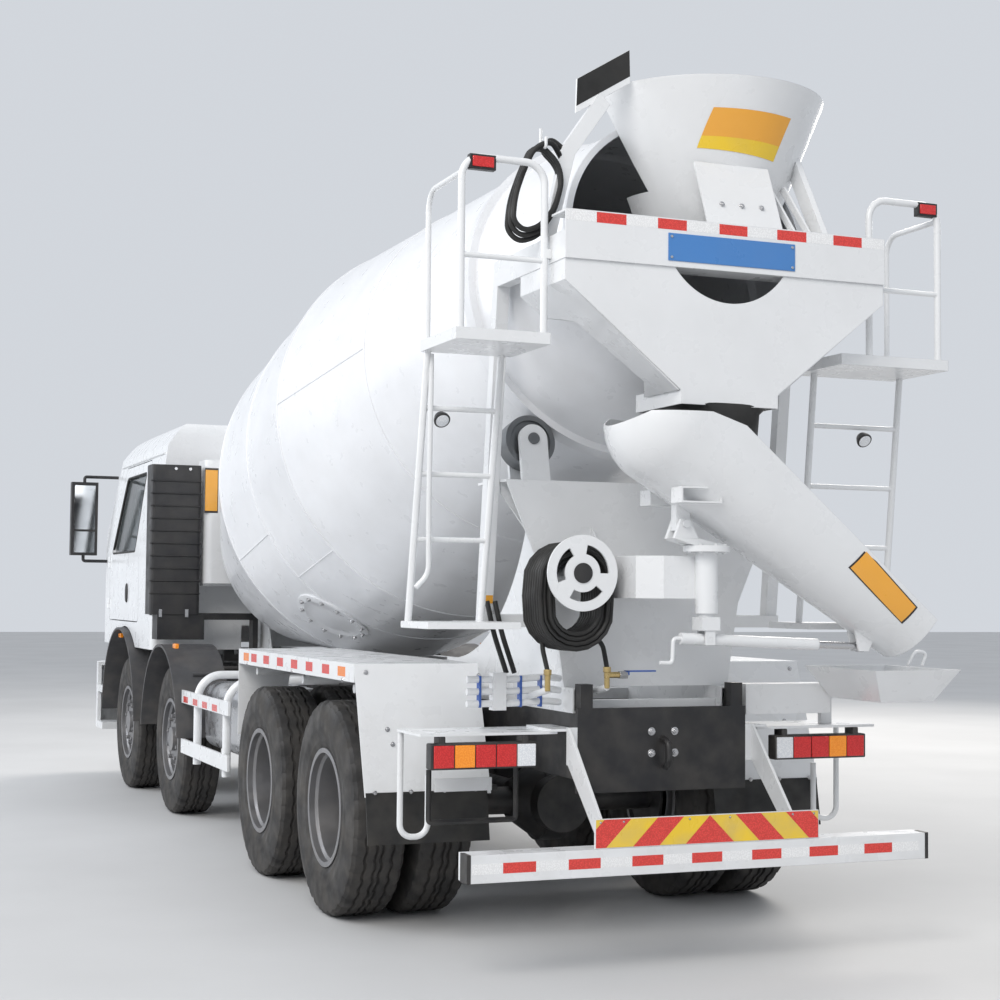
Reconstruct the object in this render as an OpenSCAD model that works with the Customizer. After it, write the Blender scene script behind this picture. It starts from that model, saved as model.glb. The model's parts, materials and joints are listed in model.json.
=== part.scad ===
// Concrete mixer truck with four axles, in millimetres.
// +Y points to the nose, +X to the truck's right side, +Z up, ground at Z = 0.
// Lengths along the truck are stations: their zero is the rear axle.

/* [Overall] */
// Length from the front bumper to the chute's rear edge
overall_len = 9660; // [9500:10:9800]
// Distance from the rear axle to the chute's rear edge
rear_overhang = 2060; // [2020:10:2120]
// Width across the rear mudguards
body_w = 2480; // [2440:10:2500]

/* [Axles] */
// Distance from the front bumper to the first axle
front_overhang = 1450; // [1420:10:1480]
// Distance between the two steered axles
front_spread = 1800; // [1780:10:1840]
// Distance between the two driven axles
bogie_spread = 1350; // [1320:10:1380]
// Distance from the centre plane to the middle of a steered tyre
front_track = 1022; // [1014:2:1030]
// Distance from the centre plane to the middle of a pair of driven tyres
rear_track = 925; // [920:5:930]
// Distance between the middles of the two tyres of a pair
dual_gap = 344; // [336:2:352]
// Distance from a kingpin to the middle of its tyre
kingpin_in = 170; // [160:5:180]

/* [Wheels] */
// Diameter of a tyre
tyre_d = 1085; // [1060:5:1110]
// Width of a tyre
tyre_w = 296; // [286:2:306]
// Radius of the rim's seat that the tyre's beads sit on
bead_r = 287; // [284:1:290]
// Thickness of the wheel discs
disc_t = 14; // [10:1:18]
// Radius of the wheel spindles
spindle_r = 45; // [40:1:50]
// Radius of the kingpins
kingpin_r = 24; // [20:1:28]

/* [Frame] */
// Height of the frame rails' lower edge above the ground
rail_z = 790; // [780:5:800]
// Height of the frame rails
rail_h = 300; // [290:5:310]
// Width of the frame over both rails
frame_w = 860; // [840:10:880]
// Thickness of the frame rails' web and flanges
rail_t = 16; // [12:1:20]
// Width of the frame rails' flanges
rail_flange = 90; // [80:5:100]
// Height of the mixer's own frame on top of the rails
sub_h = 115; // [105:5:120]

/* [Cab] */
// Width of the cab
cab_w = 2390; // [2360:10:2420]
// Length of the cab
cab_len = 2440; // [2400:10:2460]
// Height of the cab's lower edge above the ground
cab_z = 1180; // [1160:10:1200]
// Height of the cab's roof above the ground
cab_top = 3010; // [2990:10:3040]
// Thickness of the cab's walls and doors
cab_t = 46; // [40:2:50]
// Gap round each door
door_gap = 8; // [6:1:10]

/* [Drum] */
// Slope of the drum's axis
drum_tilt = 11.6; // [11.2:0.2:12]
// Height of the drum's axis above the ground at its reference station
drum_z = 2430; // [2420:5:2460]
// Radius of the drum's widest part
drum_r = 1175; // [1150:5:1180]
// Thickness of the drum's shell
drum_t = 8; // [6:1:14]
// Radius of the drum's open mouth
mouth_r = 600; // [580:5:620]
// Radius of the track ring that the rollers carry
ring_r = 820; // [810:5:830]
// Radius of a drum roller
roller_r = 125; // [120:1:130]

/* [Hopper and chute] */
// Height of the feed hopper's rim above the ground
hopper_top = 3930; // [3900:10:3960]
// Radius of the chute at its upper end
chute_r = 280; // [270:5:290]
// Radius of the chute at its lower end
chute_end_r = 218; // [210:2:226]
// Length of the chute's straight part
chute_len = 1530; // [1500:10:1550]
// Slope of the chute below level
chute_slope = 33.5; // [32.5:0.5:34.5]
// Thickness of the plate of hoppers and chute
plate_t = 8; // [6:1:10]

/* [Hidden] */
$fn = 96;

// Colours of the paint and the bare materials
white = "gainsboro";
black = "dimgray";
rubber = "darkslategray";
steel = "silver";

// Clearances
run_fit = 0.08;
seat_gap = 0.3;

// Stations and heights that several pieces share
rear_axle_y = rear_overhang - overall_len / 2;
front_y = overall_len - rear_overhang;
axle_1 = front_y - front_overhang;
axle_2 = axle_1 - front_spread;
axle_3 = bogie_spread;
axle_4 = 0;
hub_z = tyre_d / 2;
half_frame = frame_w / 2;
rail_top = rail_z + rail_h;
sub_top = rail_top + sub_h;
frame_rear = -1340;
sub_front = axle_2 + 590;
kingpin_x = front_track - kingpin_in;
cab_rear = front_y - 180 - cab_len;
cab_front = cab_rear + cab_len;
half_cab = cab_w / 2;
half_body = body_w / 2;
lamp_out = half_body - 60;
pivot = [cab_front - 200, rail_top + 46];
pivot_r = 15;
pivot_boss = 36;
pivot_ears = [half_frame - 78, half_frame - 16];

// The drum: distances along its axis from its reference station, rearwards positive
drum_y = 2350;
head_s = 2890 - sub_front;
head_r = 800;
head_rise = 120;
barrel_s = [head_s + 1643, 1108];
ring_s = 3300;
ring_w = 90;
ring_seat_r = ring_r - 35;
mouth_s = 4050;
roller_x = 560;
roller_gap = seat_gap;
roller_drop = sqrt(pow(ring_r + roller_r + roller_gap, 2) - pow(roller_x, 2));
stub_r = 70;
stub_len = 80;
gear_s = head_s - head_rise - 40;

// Rear pedestal, swing post and chute
ped_y = -1200;
ped_top = 2165;
front_ped_top = 1640;
swing_y = -rear_overhang + chute_r;
post_r = 36;
tilt_x = -130;
tilt_z = 1950;
tilt_pin_r = 18;
chute_x = -200;
chute_z = 2385;
jack_z = 1440;
jack_eye = [800, 1408];
jack_pin_r = 12;

function unit(v) = v / norm(v);
// Distance from a corner to where its rounding starts, and the rounding's centre
function half_angle(p, q, s) = acos(unit(p - q) * unit(s - q)) / 2;
function xy(c) = [c.x, c.y];

module box(low, high) translate(low) cube(high - low);

module both_sides() {
    children();
    mirror([1, 0, 0]) children();
}

// Plate of the cab's pivot as seen along X: round about its pin and straight from there to height z
module pivot_plate(z) {
    translate(pivot) circle(pivot_boss);
    translate([pivot.x - pivot_boss, min(z, pivot.y)]) square([2 * pivot_boss, abs(z - pivot.y)]);
}

// Profiles drawn as seen along X, Y or Z and given a thickness
module along_x(x0, x1) translate([x0, 0, 0]) rotate([90, 0, 90]) linear_extrude(x1 - x0) children();
module along_y(y0, y1) translate([0, y1, 0]) rotate([90, 0, 0]) linear_extrude(y1 - y0) children();
module along_z(z0, z1) translate([0, 0, z0]) linear_extrude(z1 - z0) children();

// Round bar from one point to another
module rod(a, b, r) {
    d = b - a;
    l = norm(d);
    translate(a) rotate([0, acos(d.z / l), atan2(d.y, d.x)]) cylinder(r = r, h = l);
}

// Tube of radius r along points, with round bends
module bent_tube(points, r, bend) {
    last = len(points) - 1;
    dirs = [for (i = [0:last - 1]) unit(points[i + 1] - points[i])];
    trims = [for (i = [0:last])
        i == 0 || i == last ? 0 : bend * tan(acos(min(dirs[i - 1] * dirs[i], 1)) / 2)];
    for (i = [0:last - 1])
        rod(points[i] + dirs[i] * trims[i], points[i + 1] - dirs[i] * trims[i + 1], r);
    for (i = [1:last - 1]) {
        n = unit(cross(dirs[i - 1], dirs[i]));
        out = cross(dirs[i - 1], n);
        start = points[i] - dirs[i - 1] * trims[i];
        c = start - out * bend;
        u = dirs[i - 1];
        multmatrix([[out.x, u.x, n.x, c.x], [out.y, u.y, n.y, c.y], [out.z, u.z, n.z, c.z], [0, 0, 0, 1]])
            rotate_extrude(angle = acos(dirs[i - 1] * dirs[i])) translate([bend, 0]) circle(r, $fn = 32);
    }
}

// Polygon whose convex corners are rounded: each corner is x, y, radius
module rounded(c) {
    n = len(c);
    polygon([for (i = [0:n - 1]) let (p = xy(c[(i + n - 1) % n]), q = xy(c[i]), s = xy(c[(i + 1) % n]),
        t = c[i][2] / tan(half_angle(p, q, s))) each (c[i][2] > 0
            ? [q + unit(p - q) * t, q + unit(s - q) * t] : [q])]);
    for (i = [0:n - 1]) if (c[i][2] > 0) {
        p = xy(c[(i + n - 1) % n]);
        q = xy(c[i]);
        s = xy(c[(i + 1) % n]);
        translate(q + unit(unit(p - q) + unit(s - q)) * c[i][2] / sin(half_angle(p, q, s))) circle(c[i][2]);
    }
}

// Frame whose Z runs up the drum's axis to the rear and whose Y points up
module drum_axes() translate([0, drum_y, drum_z]) rotate([90 - drum_tilt, 0, 0]) children();

// Frame of a wheel: Z points outwards from the truck along the axle
module left_hub(x, y) translate([-x, y, hub_z]) rotate([0, -90, 0]) children();
module right_hub(x, y) translate([x, y, hub_z]) rotate([0, 90, 0]) children();

// Tyre in a wheel's frame, with bulged walls and a groove pattern left plain
module tyre() {
    w = tyre_w / 2;
    color(rubber) rotate_extrude()
        polygon([[bead_r + seat_gap, -w + 34], [bead_r + 14, -w + 22], [bead_r + 60, -w + 8], [bead_r + 115, -w],
            [bead_r + 170, -w + 4], [hub_z - 34, -w + 14], [hub_z - 12, -w + 26], [hub_z, -w + 48],
            [hub_z, w - 48], [hub_z - 12, w - 26], [hub_z - 34, w - 14], [bead_r + 170, w - 4],
            [bead_r + 115, w], [bead_r + 60, w - 8], [bead_r + 14, w - 22], [bead_r + seat_gap, w - 34]]);
}

module dual_tyres() for (side = [-1, 1]) translate([0, 0, side * dual_gap / 2]) tyre();

// Rim barrel with its two flanges, in a wheel's frame
module rim() {
    w = tyre_w / 2;
    t = 12;
    lip = bead_r + 13;
    rotate_extrude()
        polygon([[bead_r - t, -w + 14], [lip, -w + 14], [lip, -w + 21], [bead_r, -w + 33],
            [bead_r, w - 33], [lip, w - 21], [lip, w - 14], [bead_r - t, w - 14],
            [bead_r - t, w - 46], [bead_r - t - 12, w - 60], [bead_r - t - 12, -w + 60], [bead_r - t, -w + 46]]);
}

// Ring of holes in a wheel disc
module hole_ring(count, at_r, r, z0, z1)
    for (i = [0:count - 1]) rotate([0, 0, (i + 0.5) * 360 / count]) translate([at_r, 0, z0])
        cylinder(r = r, h = z1 - z0);

// Steered wheel: disc bulged outwards, hub, brake drum and nuts, bored for its spindle
module front_wheel() {
    face = 96;
    inner_r = bead_r - 24;
    color(steel) difference() {
        union() {
            rim();
            rotate_extrude()
                polygon([[spindle_r + run_fit, face - disc_t], [186, face - disc_t], [202, 52 - disc_t], [246, 52 - disc_t],
                    [250, 34], [inner_r, 34], [inner_r, 34 + disc_t], [252, 52], [208, 52], [196, face], [spindle_r + run_fit, face]]);
            translate([0, 0, -60]) cylinder(r = 92, h = 60 + face - 1);
            difference() {
                translate([0, 0, -105]) cylinder(r = 205, h = 110);
                translate([0, 0, -106]) cylinder(r = 192, h = 98);
            }
            translate([0, 0, face - 1]) cylinder(r = 88, h = 34);
            for (i = [0:9]) rotate([0, 0, i * 36]) translate([167.5, 0, face - 1]) cylinder(r = 16, h = 30, $fn = 6);
        }
        translate([0, 0, -107]) cylinder(r = spindle_r + run_fit, h = 107 + face - 6);
        hole_ring(10, 227, 15, 30, 60);
    }
}

// Pair of driven wheels: dished discs face to face, brake drum and hub, about the pair's middle
module rear_wheels() {
    inner_r = bead_r - 11;
    z = dual_gap / 2;
    color(steel) difference() {
        union() {
            for (side = [-1, 1]) translate([0, 0, side * z]) rim();
            for (side = [0, 1]) mirror([0, 0, side]) rotate_extrude()
                polygon([[spindle_r + run_fit, 0], [196, 0], [208, 44], [246, 44], [252, 70], [inner_r, 70], [inner_r, 70 + disc_t],
                    [242, 70 + disc_t], [236, 44 + disc_t], [200, 44 + disc_t], [188, disc_t], [spindle_r + run_fit, disc_t]]);
            translate([0, 0, -150]) cylinder(r = 92, h = 150);
            cylinder(r = 128, h = 60);
            translate([0, 0, 60]) cylinder(r = 112, h = 45);
            difference() {
                translate([0, 0, -300]) cylinder(r = 205, h = 300);
                translate([0, 0, -301]) cylinder(r = 192, h = 290);
            }
            for (i = [0:9]) rotate([0, 0, i * 36]) translate([167.5, 0, disc_t - 1]) cylinder(r = 16, h = 32, $fn = 6);
        }
        translate([0, 0, -301]) cylinder(r = spindle_r + run_fit, h = 301 + 80);
        hole_ring(10, 222, 13, -66, 66);
    }
}

// Steering knuckle in a wheel's frame: lugs over and under the axle's eye, and the spindle
module knuckle() {
    eye_h = 130;
    lug = 34;
    gap = 0.5;
    back = -kingpin_in;
    color(black) difference() {
        union() {
            for (side = [-1, 1]) translate([side * (eye_h / 2 + gap + lug / 2), 0, back])
                rotate([0, 90, 0]) cylinder(r = 52, h = lug, center = true);
            for (side = [-1, 1]) translate([side * (eye_h / 2 + gap + lug / 2) - lug / 2, -40, back])
                cube([lug, 80, 72]);
            translate([-eye_h / 2 - gap - lug, -55, back + 56]) cube([eye_h + 2 * gap + 2 * lug, 110, 30]);
            translate([0, 0, back + 80]) cylinder(r = 70, h = 14);
            translate([0, 0, back + 80]) cylinder(r = spindle_r, h = kingpin_in - 80 + 84);
        }
        translate([-eye_h, 0, back]) rotate([0, 90, 0]) cylinder(r = kingpin_r + run_fit, h = 2 * eye_h);
    }
}

// Steered axles: dropped beams with eyes and kingpins at their ends
module steer_axles() {
    eye_h = 130;
    pin_len = 210;
    color(black) for (y = [axle_1, axle_2]) translate([0, y, 0]) {
        both_sides() {
            translate([kingpin_x, 0, hub_z - eye_h / 2]) cylinder(r = 46, h = eye_h);
            translate([kingpin_x, 0, hub_z - pin_len / 2]) cylinder(r = kingpin_r, h = pin_len);
            along_y(-44, 44) polygon([[kingpin_x, hub_z - 52], [kingpin_x, hub_z + 52], [kingpin_x - 90, hub_z + 45],
                [500, hub_z - 20], [500, hub_z - 130], [kingpin_x - 130, hub_z - 70]]);
        }
        box([-501, -22, hub_z - 130], [501, 22, hub_z - 20]);
        for (z = [hub_z - 130, hub_z - 44]) box([-501, -44, z], [501, 44, z + 24]);
        both_sides() box([310, -60, hub_z - 20], [410, 60, hub_z + 12]);
    }
}

// Driven axles: housing tubes, centre housings, spindles and the shafts between them
module drive_axles() {
    spindle_in = rear_track - 300;
    color(black) for (y = [axle_4, axle_3]) translate([0, y, hub_z]) {
        rotate([0, 90, 0]) cylinder(r = 72, h = 2 * spindle_in + 40, center = true);
        rotate([0, 90, 0]) cylinder(r = spindle_r, h = 2 * (rear_track + 74), center = true);
        rotate([0, 90, 0]) cylinder(r = 215, h = 130, center = true);
        for (side = [0, 1]) mirror([side, 0, 0]) translate([65, 0, 0]) rotate([0, 90, 0]) cylinder(r1 = 205, r2 = 100, h = 150);
        both_sides() translate([spindle_in - 30, 0, 0]) rotate([0, 90, 0]) cylinder(r = 185, h = 14);
        rotate([-90, 0, 0]) cylinder(r = 110, h = 300);
        rotate([90, 0, 0]) cylinder(r = 150, h = 240);
    }
    shafts = [[axle_4 + 299, hub_z, axle_3 - 239, hub_z], [axle_3 + 299, hub_z, axle_2 - 330, hub_z + 180]];
    color(black) for (s = shafts) {
        rod([0, s[0], s[1]], [0, s[2], s[3]], 55);
    }
}

// Leaf springs on every axle, with the hangers that hold them under the rails
module leaf_springs() {
    spring_x = 360;
    leaf_w = 76;
    leaf_t = 22;
    seat_z = hub_z + 12;
    bogie_z = hub_z + 72 + seat_gap;
    mid = (axle_3 + axle_4) / 2;
    color(black) both_sides() translate([spring_x - leaf_w / 2, 0, 0]) {
        for (y = [axle_1, axle_2]) {
            for (i = [0:2])
                box([0, y - 720 + 190 * i, seat_z + leaf_t * i], [leaf_w, y + 720 - 190 * i, seat_z + leaf_t * (i + 1)]);
            for (side = [-1, 1])
                box([8, y + side * 690 - 30, seat_z + leaf_t - 1], [leaf_w - 8, y + side * 690 + 30, rail_z]);
        }
        for (i = [0:4])
            box([0, mid - 780 + 100 * i, bogie_z + leaf_t * i], [leaf_w, mid + 780 - 100 * i, bogie_z + leaf_t * (i + 1)]);
        box([-6, mid - 110, bogie_z + leaf_t * 4], [leaf_w + 6, mid + 110, rail_z]);
    }
}

// Ladder frame: two channels and the members between them
module frame_rails() {
    front = front_y - 330;
    members = [-1220, -620, 0.5 * bogie_spread, axle_3 + 700, (axle_2 + axle_3) / 2 + 50, axle_2 - 650];
    color(black) {
        both_sides() difference() {
            box([half_frame - rail_flange, frame_rear, rail_z], [half_frame, front, rail_top]);
            box([half_frame - rail_flange - 1, frame_rear - 1, rail_z + rail_t], [half_frame - rail_t, front + 1, rail_top - rail_t]);
        }
        for (y = members) difference() {
            box([-half_frame + rail_t, y - 40, rail_z + rail_t + 20], [half_frame - rail_t, y + 40, rail_top - rail_t - 20]);
            box([-half_frame - 1, y - 28, rail_z + rail_t + 32], [half_frame + 1, y + 41, rail_top - rail_t - 32]);
        }
        box([-half_frame + rail_t, front - 120, rail_z + 40], [half_frame - rail_t, front - 60, rail_top - 40]);
        difference() {
            box([-half_frame - 6, frame_rear - 26, rail_z - 60], [half_frame + 6, frame_rear, rail_top + 26]);
            for (x = [-1, 1], z = [-1, 1]) translate([x * 60, frame_rear + 1, rail_z + 165 + z * 50])
                rotate([90, 0, 0]) cylinder(r = 11, h = 28);
        }
        both_sides() box([half_frame - 70, frame_rear - 26, rail_top + 25], [half_frame - 10, frame_rear + 40, sub_top + 20]);
        // Ears and pins that the cab tilts on, and the beam that its rear rests on
        both_sides() {
            for (x = pivot_ears) along_x(x, x + 14) pivot_plate(rail_top - 1);
            translate([pivot_ears[0], pivot.x, pivot.y]) rotate([0, 90, 0]) cylinder(r = pivot_r, h = pivot_ears[1] - pivot_ears[0] + 14);
            box([520, cab_rear + 60, rail_top + 40], [600, cab_rear + 120, cab_z - seat_gap]);
        }
        box([-600, cab_rear + 60, rail_top - 1], [600, cab_rear + 120, rail_top + 50]);
    }
}

// The mixer's own frame: two box rails and low members on top of the ladder frame
module subframe() {
    w = 90;
    color(white) {
        both_sides() difference() {
            box([half_frame - w, frame_rear + 41, rail_top], [half_frame, sub_front, sub_top]);
            box([half_frame - w + 8, frame_rear + 40, rail_top + 8], [half_frame - 8, sub_front + 1, sub_top - 8]);
        }
        for (y = [-1250, -300, 900, 3300, sub_front - 60])
            box([-half_frame + w, y, rail_top + 1], [half_frame - w, y + 50, rail_top + 56]);
    }
}

// Front pedestal that carries the drum's gearbox
module front_pedestal() {
    top = front_ped_top;
    y0 = sub_front - 520;
    color(white) {
        both_sides() along_x(half_frame - 60, half_frame - 48)
            polygon([[y0, sub_top], [sub_front - 10, sub_top], [sub_front - 70, top], [y0 + 230, top]]);
        box([-half_frame + 48, sub_front - 90, sub_top], [half_frame - 48, sub_front - 78, top]);
        box([-half_frame + 48, y0 + 240, top - 120], [half_frame - 48, y0 + 252, top]);
        box([-half_frame + 10, y0 + 225, top], [half_frame - 10, sub_front - 65, top + 16]);
        // Water tank on a bracket at the pedestal's left side
        along_z(top + 59, 2650) translate([-half_frame - 215, sub_front - 190])
            rounded([[-225, -150, 60], [225, -150, 60], [225, 150, 60], [-225, 150, 60]]);
        box([-half_frame - 430, sub_front - 280, top + 40], [-half_frame + 48, sub_front - 80, top + 60]);
        box([-half_frame + 10, sub_front - 280, top + 15], [-half_frame + 48, sub_front - 80, top + 41]);
    }
}

// Drum gearbox and its motor
module gearbox() {
    foot_top = drum_z + (gear_s - 90) * sin(drum_tilt);
    foot_y = drum_y - (gear_s - 90) * cos(drum_tilt);
    color(black) difference() {
        union() {
            drum_axes() {
                translate([0, 0, gear_s - 60]) cylinder(r = 215, h = 60);
                translate([0, 0, gear_s - 230]) cylinder(r = 180, h = 171);
                translate([0, 0, gear_s - 330]) cylinder(r = 85, h = 101);
            }
            box([-150, foot_y - 70, front_ped_top + 16], [150, foot_y + 90, foot_top]);
        }
        drum_axes() translate([0, 0, gear_s - stub_len - 2]) cylinder(r = stub_r + run_fit, h = stub_len + 3);
    }
}

// Drum: dished head, cones, barrel, track ring and mouth, as one welded shell
module drum() {
    steps = 8;
    dish_r = (pow(head_r, 2) + pow(head_rise, 2)) / (2 * head_rise);
    outer = concat(
        [for (i = [0:steps - 1]) let (r = head_r * i / steps)
            [r, head_s - head_rise + dish_r - sqrt(pow(dish_r, 2) - pow(r, 2))]],
        [[head_r, head_s], [drum_r, barrel_s[0]], [drum_r, barrel_s[1]], [ring_seat_r, ring_s + ring_w / 2],
            [mouth_r, mouth_s]]);
    n = len(outer);
    color(white) drum_axes() {
        rotate_extrude() polygon(concat(outer,
            [for (i = [n - 1:-1:1]) [outer[i].x - drum_t, outer[i].y + (i < steps ? drum_t : 0)]],
            [[0, outer[0].y + drum_t]]));
        rotate_extrude() polygon([[ring_seat_r - 4, ring_s - ring_w / 2], [ring_r, ring_s - ring_w / 2],
            [ring_r, ring_s + ring_w / 2], [ring_seat_r - 4, ring_s + ring_w / 2]]);
        rotate_extrude() polygon([[mouth_r - drum_t, mouth_s - 30], [mouth_r + 22, mouth_s - 30],
            [mouth_r + 22, mouth_s], [mouth_r - drum_t, mouth_s]]);
        translate([0, 0, gear_s + 1]) cylinder(r = 150, h = 60);
        translate([0, 0, gear_s - stub_len]) cylinder(r = stub_r, h = stub_len + 10);
    }
}

// Drum roller and its shaft, in the drum's own directions
module roller(side) {
    color("cadetblue") drum_axes() translate([side * roller_x, -roller_drop, ring_s]) {
        difference() {
            translate([0, 0, -50]) cylinder(r = roller_r, h = 100);
            for (z = [-51, 38]) translate([0, 0, z]) difference() {
                cylinder(r = 100, h = 13);
                translate([0, 0, -1]) cylinder(r = 50, h = 15);
            }
        }
        translate([0, 0, -95]) cylinder(r = 28, h = 190);
    }
}

// Rear pedestal with the roller stands and the swing post's bracket
module rear_pedestal() {
    t = 12;
    arc_y = 307;
    arc_z = 2420;
    arc_r = 1132;
    half_top = 730;
    stand = 26;
    bracket_z = [1620, 1810];
    color(white) {
        along_y(ped_y, ped_y + t) polygon([[-half_frame, sub_top], [half_frame, sub_top], [half_frame + 60, 1600],
            [half_top, ped_top], [-half_top, ped_top], [-half_frame - 60, 1600]]);
        both_sides() along_x(half_frame - t, half_frame) difference() {
            polygon([[ped_y, sub_top], [380, sub_top], [380, 1300], [-700, ped_top], [ped_y, ped_top]]);
            translate([arc_y, arc_z]) circle(arc_r);
        }
        box([-half_top, ped_y, ped_top - t], [half_top, -840, ped_top]);
        both_sides() along_y(-1110, -1110 + t)
            polygon([[half_frame, 1720], [half_frame, ped_top], [half_top - 10, ped_top], [half_top - 10, ped_top - 60]]);
        // Bracket box and tube for the swing post
        difference() {
            union() {
                along_z(bracket_z[0], bracket_z[1]) polygon([[-300, ped_y], [-300, swing_y + 100],
                    [-200, swing_y + 24], [-20, swing_y + 24], [-20, ped_y]]);
                translate([0, swing_y, 1555]) cylinder(r = post_r + 14, h = 273);
                along_x(-298, -290) polygon([[ped_y, bracket_z[1] - 1], [ped_y - 150, bracket_z[1] - 1], [ped_y, 1950]]);
            }
            along_z(bracket_z[0] + 8, bracket_z[1] - 8) polygon([[-292, ped_y + 1], [-292, swing_y + 104],
                [-197, swing_y + 32], [-60, swing_y + 32], [-60, ped_y + 1]]);
            translate([0, swing_y, 1554]) cylinder(r = post_r + run_fit, h = 275);
        }
        // Roller stands
        both_sides() difference() {
            drum_axes() for (z = [-88, 88 - stand]) translate([roller_x, -roller_drop, ring_s + z]) {
                translate([-70, -260, 0]) cube([140, 260, stand]);
                cylinder(r = 70, h = stand);
            }
            box([0, -2000, 1000], [1200, 0, ped_top]);
            drum_axes() translate([roller_x, -roller_drop, ring_s - 120]) cylinder(r = 28 + run_fit, h = 240);
        }
    }
}

// Beam, side arms and posts that carry hoppers and platforms
beam_y = -2000;
beam_z = 3050;
beam_top = beam_z + 210;
hopper_c = [150, -1440];
module hopper_frame() {
    half = 793;
    t = 10;
    color(white) {
        difference() {
            box([-half, beam_y, beam_z], [half, beam_y + 150, beam_top]);
            box([-half - 1, beam_y + t, beam_z + t], [half + 1, beam_y + 151, beam_top - t]);
        }
        both_sides() {
            box([half - 60, beam_y + 5, beam_z], [half, -1180, beam_z + 120]);
            along_x(half - 60, half) polygon([[-1240, beam_z + 80], [-1180, beam_z + 80], [-985, 1480], [-1045, 1480]]);
            box([half_frame, -1070, 1480], [half, -1010, 1540]);
        }
        // Splash plate at the feed hopper's rim, on its bent arm
        along_y(-1750, -1715) polygon([[-785, beam_z + 119], [-735, beam_z + 119], [-640, 3560], [-470, 3800], [-520, 3850], [-700, 3590]]);
        along_y(-1735, -1721) polygon([[-630, 3750], [-365, 3915], [-370, 4065], [-625, 3905]]);
    }
}

// Feed hopper: funnel behind the drum's mouth, its low half reaching in, on four struts
module feed_hopper() {
    top_r = 570;
    low_r = 315;
    low_z = 3290;
    lip_z = 3470;
    c = hopper_c;
    foot_z = beam_top + seat_gap;
    // Struts between beam and cone: left and right face, foot's depth, tip's station and height
    struts = [[-110, 265, 12, -1862, 3560], [320, 332, 40, -1800, 3480], [400, 412, 40, -1775, 3510], [470, 500, 90, -1730, 3690]];
    h = hopper_top - low_z;
    wall_s = mouth_s + 25;
    module behind_mouth(s) drum_axes() translate([-1000, -1000, s]) cube([2000, 3000, 2000]);
    module lower_half() box([-700, c.y - 700, low_z - 1], [700, c.y, lip_z]);
    module funnel(d) translate([c.x, c.y, low_z]) cylinder(r1 = low_r - d, r2 = top_r - d, h = h);
    color(white) {
        difference() {
            union() {
                intersection() {
                    funnel(0);
                    union() {
                        behind_mouth(wall_s);
                        lower_half();
                    }
                }
                for (f = struts) along_x(f[0], f[1]) polygon([[beam_y + 10, foot_z], [beam_y + 10 + f[2], foot_z],
                    [f[3] + f[2], f[4] - 8], [f[3], f[4]]]);
            }
            intersection() {
                translate([0, 0, -0.01]) funnel(plate_t);
                union() {
                    behind_mouth(wall_s - 1);
                    lower_half();
                    box([-700, c.y - 700, low_z - 2], [700, c.y + 1, low_z + 2]);
                }
            }
            translate([c.x, c.y, hopper_top - 1]) cylinder(r = top_r - plate_t, h = 2);
        }
        intersection() {
            funnel(0);
            drum_axes() translate([-1000, -1000, wall_s]) cube([2000, 3000, plate_t]);
            box([-700, c.y - 700, lip_z], [700, c.y + 200, hopper_top]);
        }
    }
}

// Collecting hopper: rear wall with an arched opening, side walls and the outlet
module collecting_hopper() {
    y0 = -1990;
    out_z = 2520;
    half_out = 240;
    color(white) {
        difference() {
            along_y(y0, y0 + plate_t) polygon([[-790, 3050], [790, 3050], [790, 2960], [half_out, out_z], [-half_out, out_z], [-790, 2960]]);
            translate([0, y0 - 1, 3240]) rotate([-90, 0, 0]) cylinder(r = 330, h = plate_t + 2);
        }
        both_sides() difference() {
            along_y(y0 + plate_t, -1500) polygon([[half_out, out_z], [half_out + 12, out_z], [790, 2960], [790, 3050], [782, 3050], [782, 2966]]);
            drum_axes() translate([0, 0, mouth_s - 300]) cylinder(r = 760, h = 330);
        }
        both_sides() box([half_out - plate_t, y0 + plate_t, out_z - 60], [half_out, -1560, out_z + 20]);
        box([-half_out, y0, out_z - 60], [half_out, y0 + plate_t, out_z]);
        box([-half_out, -1560, out_z - 60], [half_out, -1560 + plate_t, out_z + 20]);
    }
}

// Swing arm: post in the bracket's tube, bolted flanges, box arm and the jack's clevis
module chute_arm() {
    jack_r = 26;
    cheek = 12;
    color(white) difference() {
        union() {
            translate([0, swing_y, 1500]) cylinder(r = post_r, h = 345);
            translate([0, swing_y, 1828 + seat_gap]) cylinder(r = 105, h = 28);
            for (i = [0:7]) rotate_about([0, swing_y], i * 45) translate([85, 0, 1820]) cylinder(r = 9, h = 44, $fn = 6);
            along_y(swing_y - 55, swing_y + 55) polygon([[-85, 1855], [95, 1855], [tilt_x + 70, 1885], [tilt_x - 60, 1885]]);
            for (side = [-1, 1]) along_y(swing_y + side * 38 - 12, swing_y + side * 38 + 12)
                polygon([[tilt_x - 55, 1884], [tilt_x + 65, 1884], [tilt_x + 22, tilt_z + 22], [tilt_x - 22, tilt_z + 22]]);
            box([-46, swing_y - 46, jack_z + 40], [46, swing_y + 46, 1540]);
            for (side = [-1, 1]) translate([0, swing_y + side * (jack_r + 3 + cheek / 2) - cheek / 2, 0])
                box([-24, 0, jack_z - 24], [24, cheek, jack_z + 41]);
        }
        translate([tilt_x, swing_y - 100, tilt_z]) rotate([-90, 0, 0]) cylinder(r = tilt_pin_r + run_fit, h = 200);
        translate([0, swing_y - 60, jack_z]) rotate([-90, 0, 0]) cylinder(r = jack_pin_r + run_fit, h = 120);
        translate([0, swing_y, jack_z]) rotate([0, 90, 0]) cylinder(r = jack_r + 4, h = 100, center = true);
    }
}

module rotate_about(c, a) translate([c.x, c.y, 0]) rotate([0, 0, a]) children();

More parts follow.
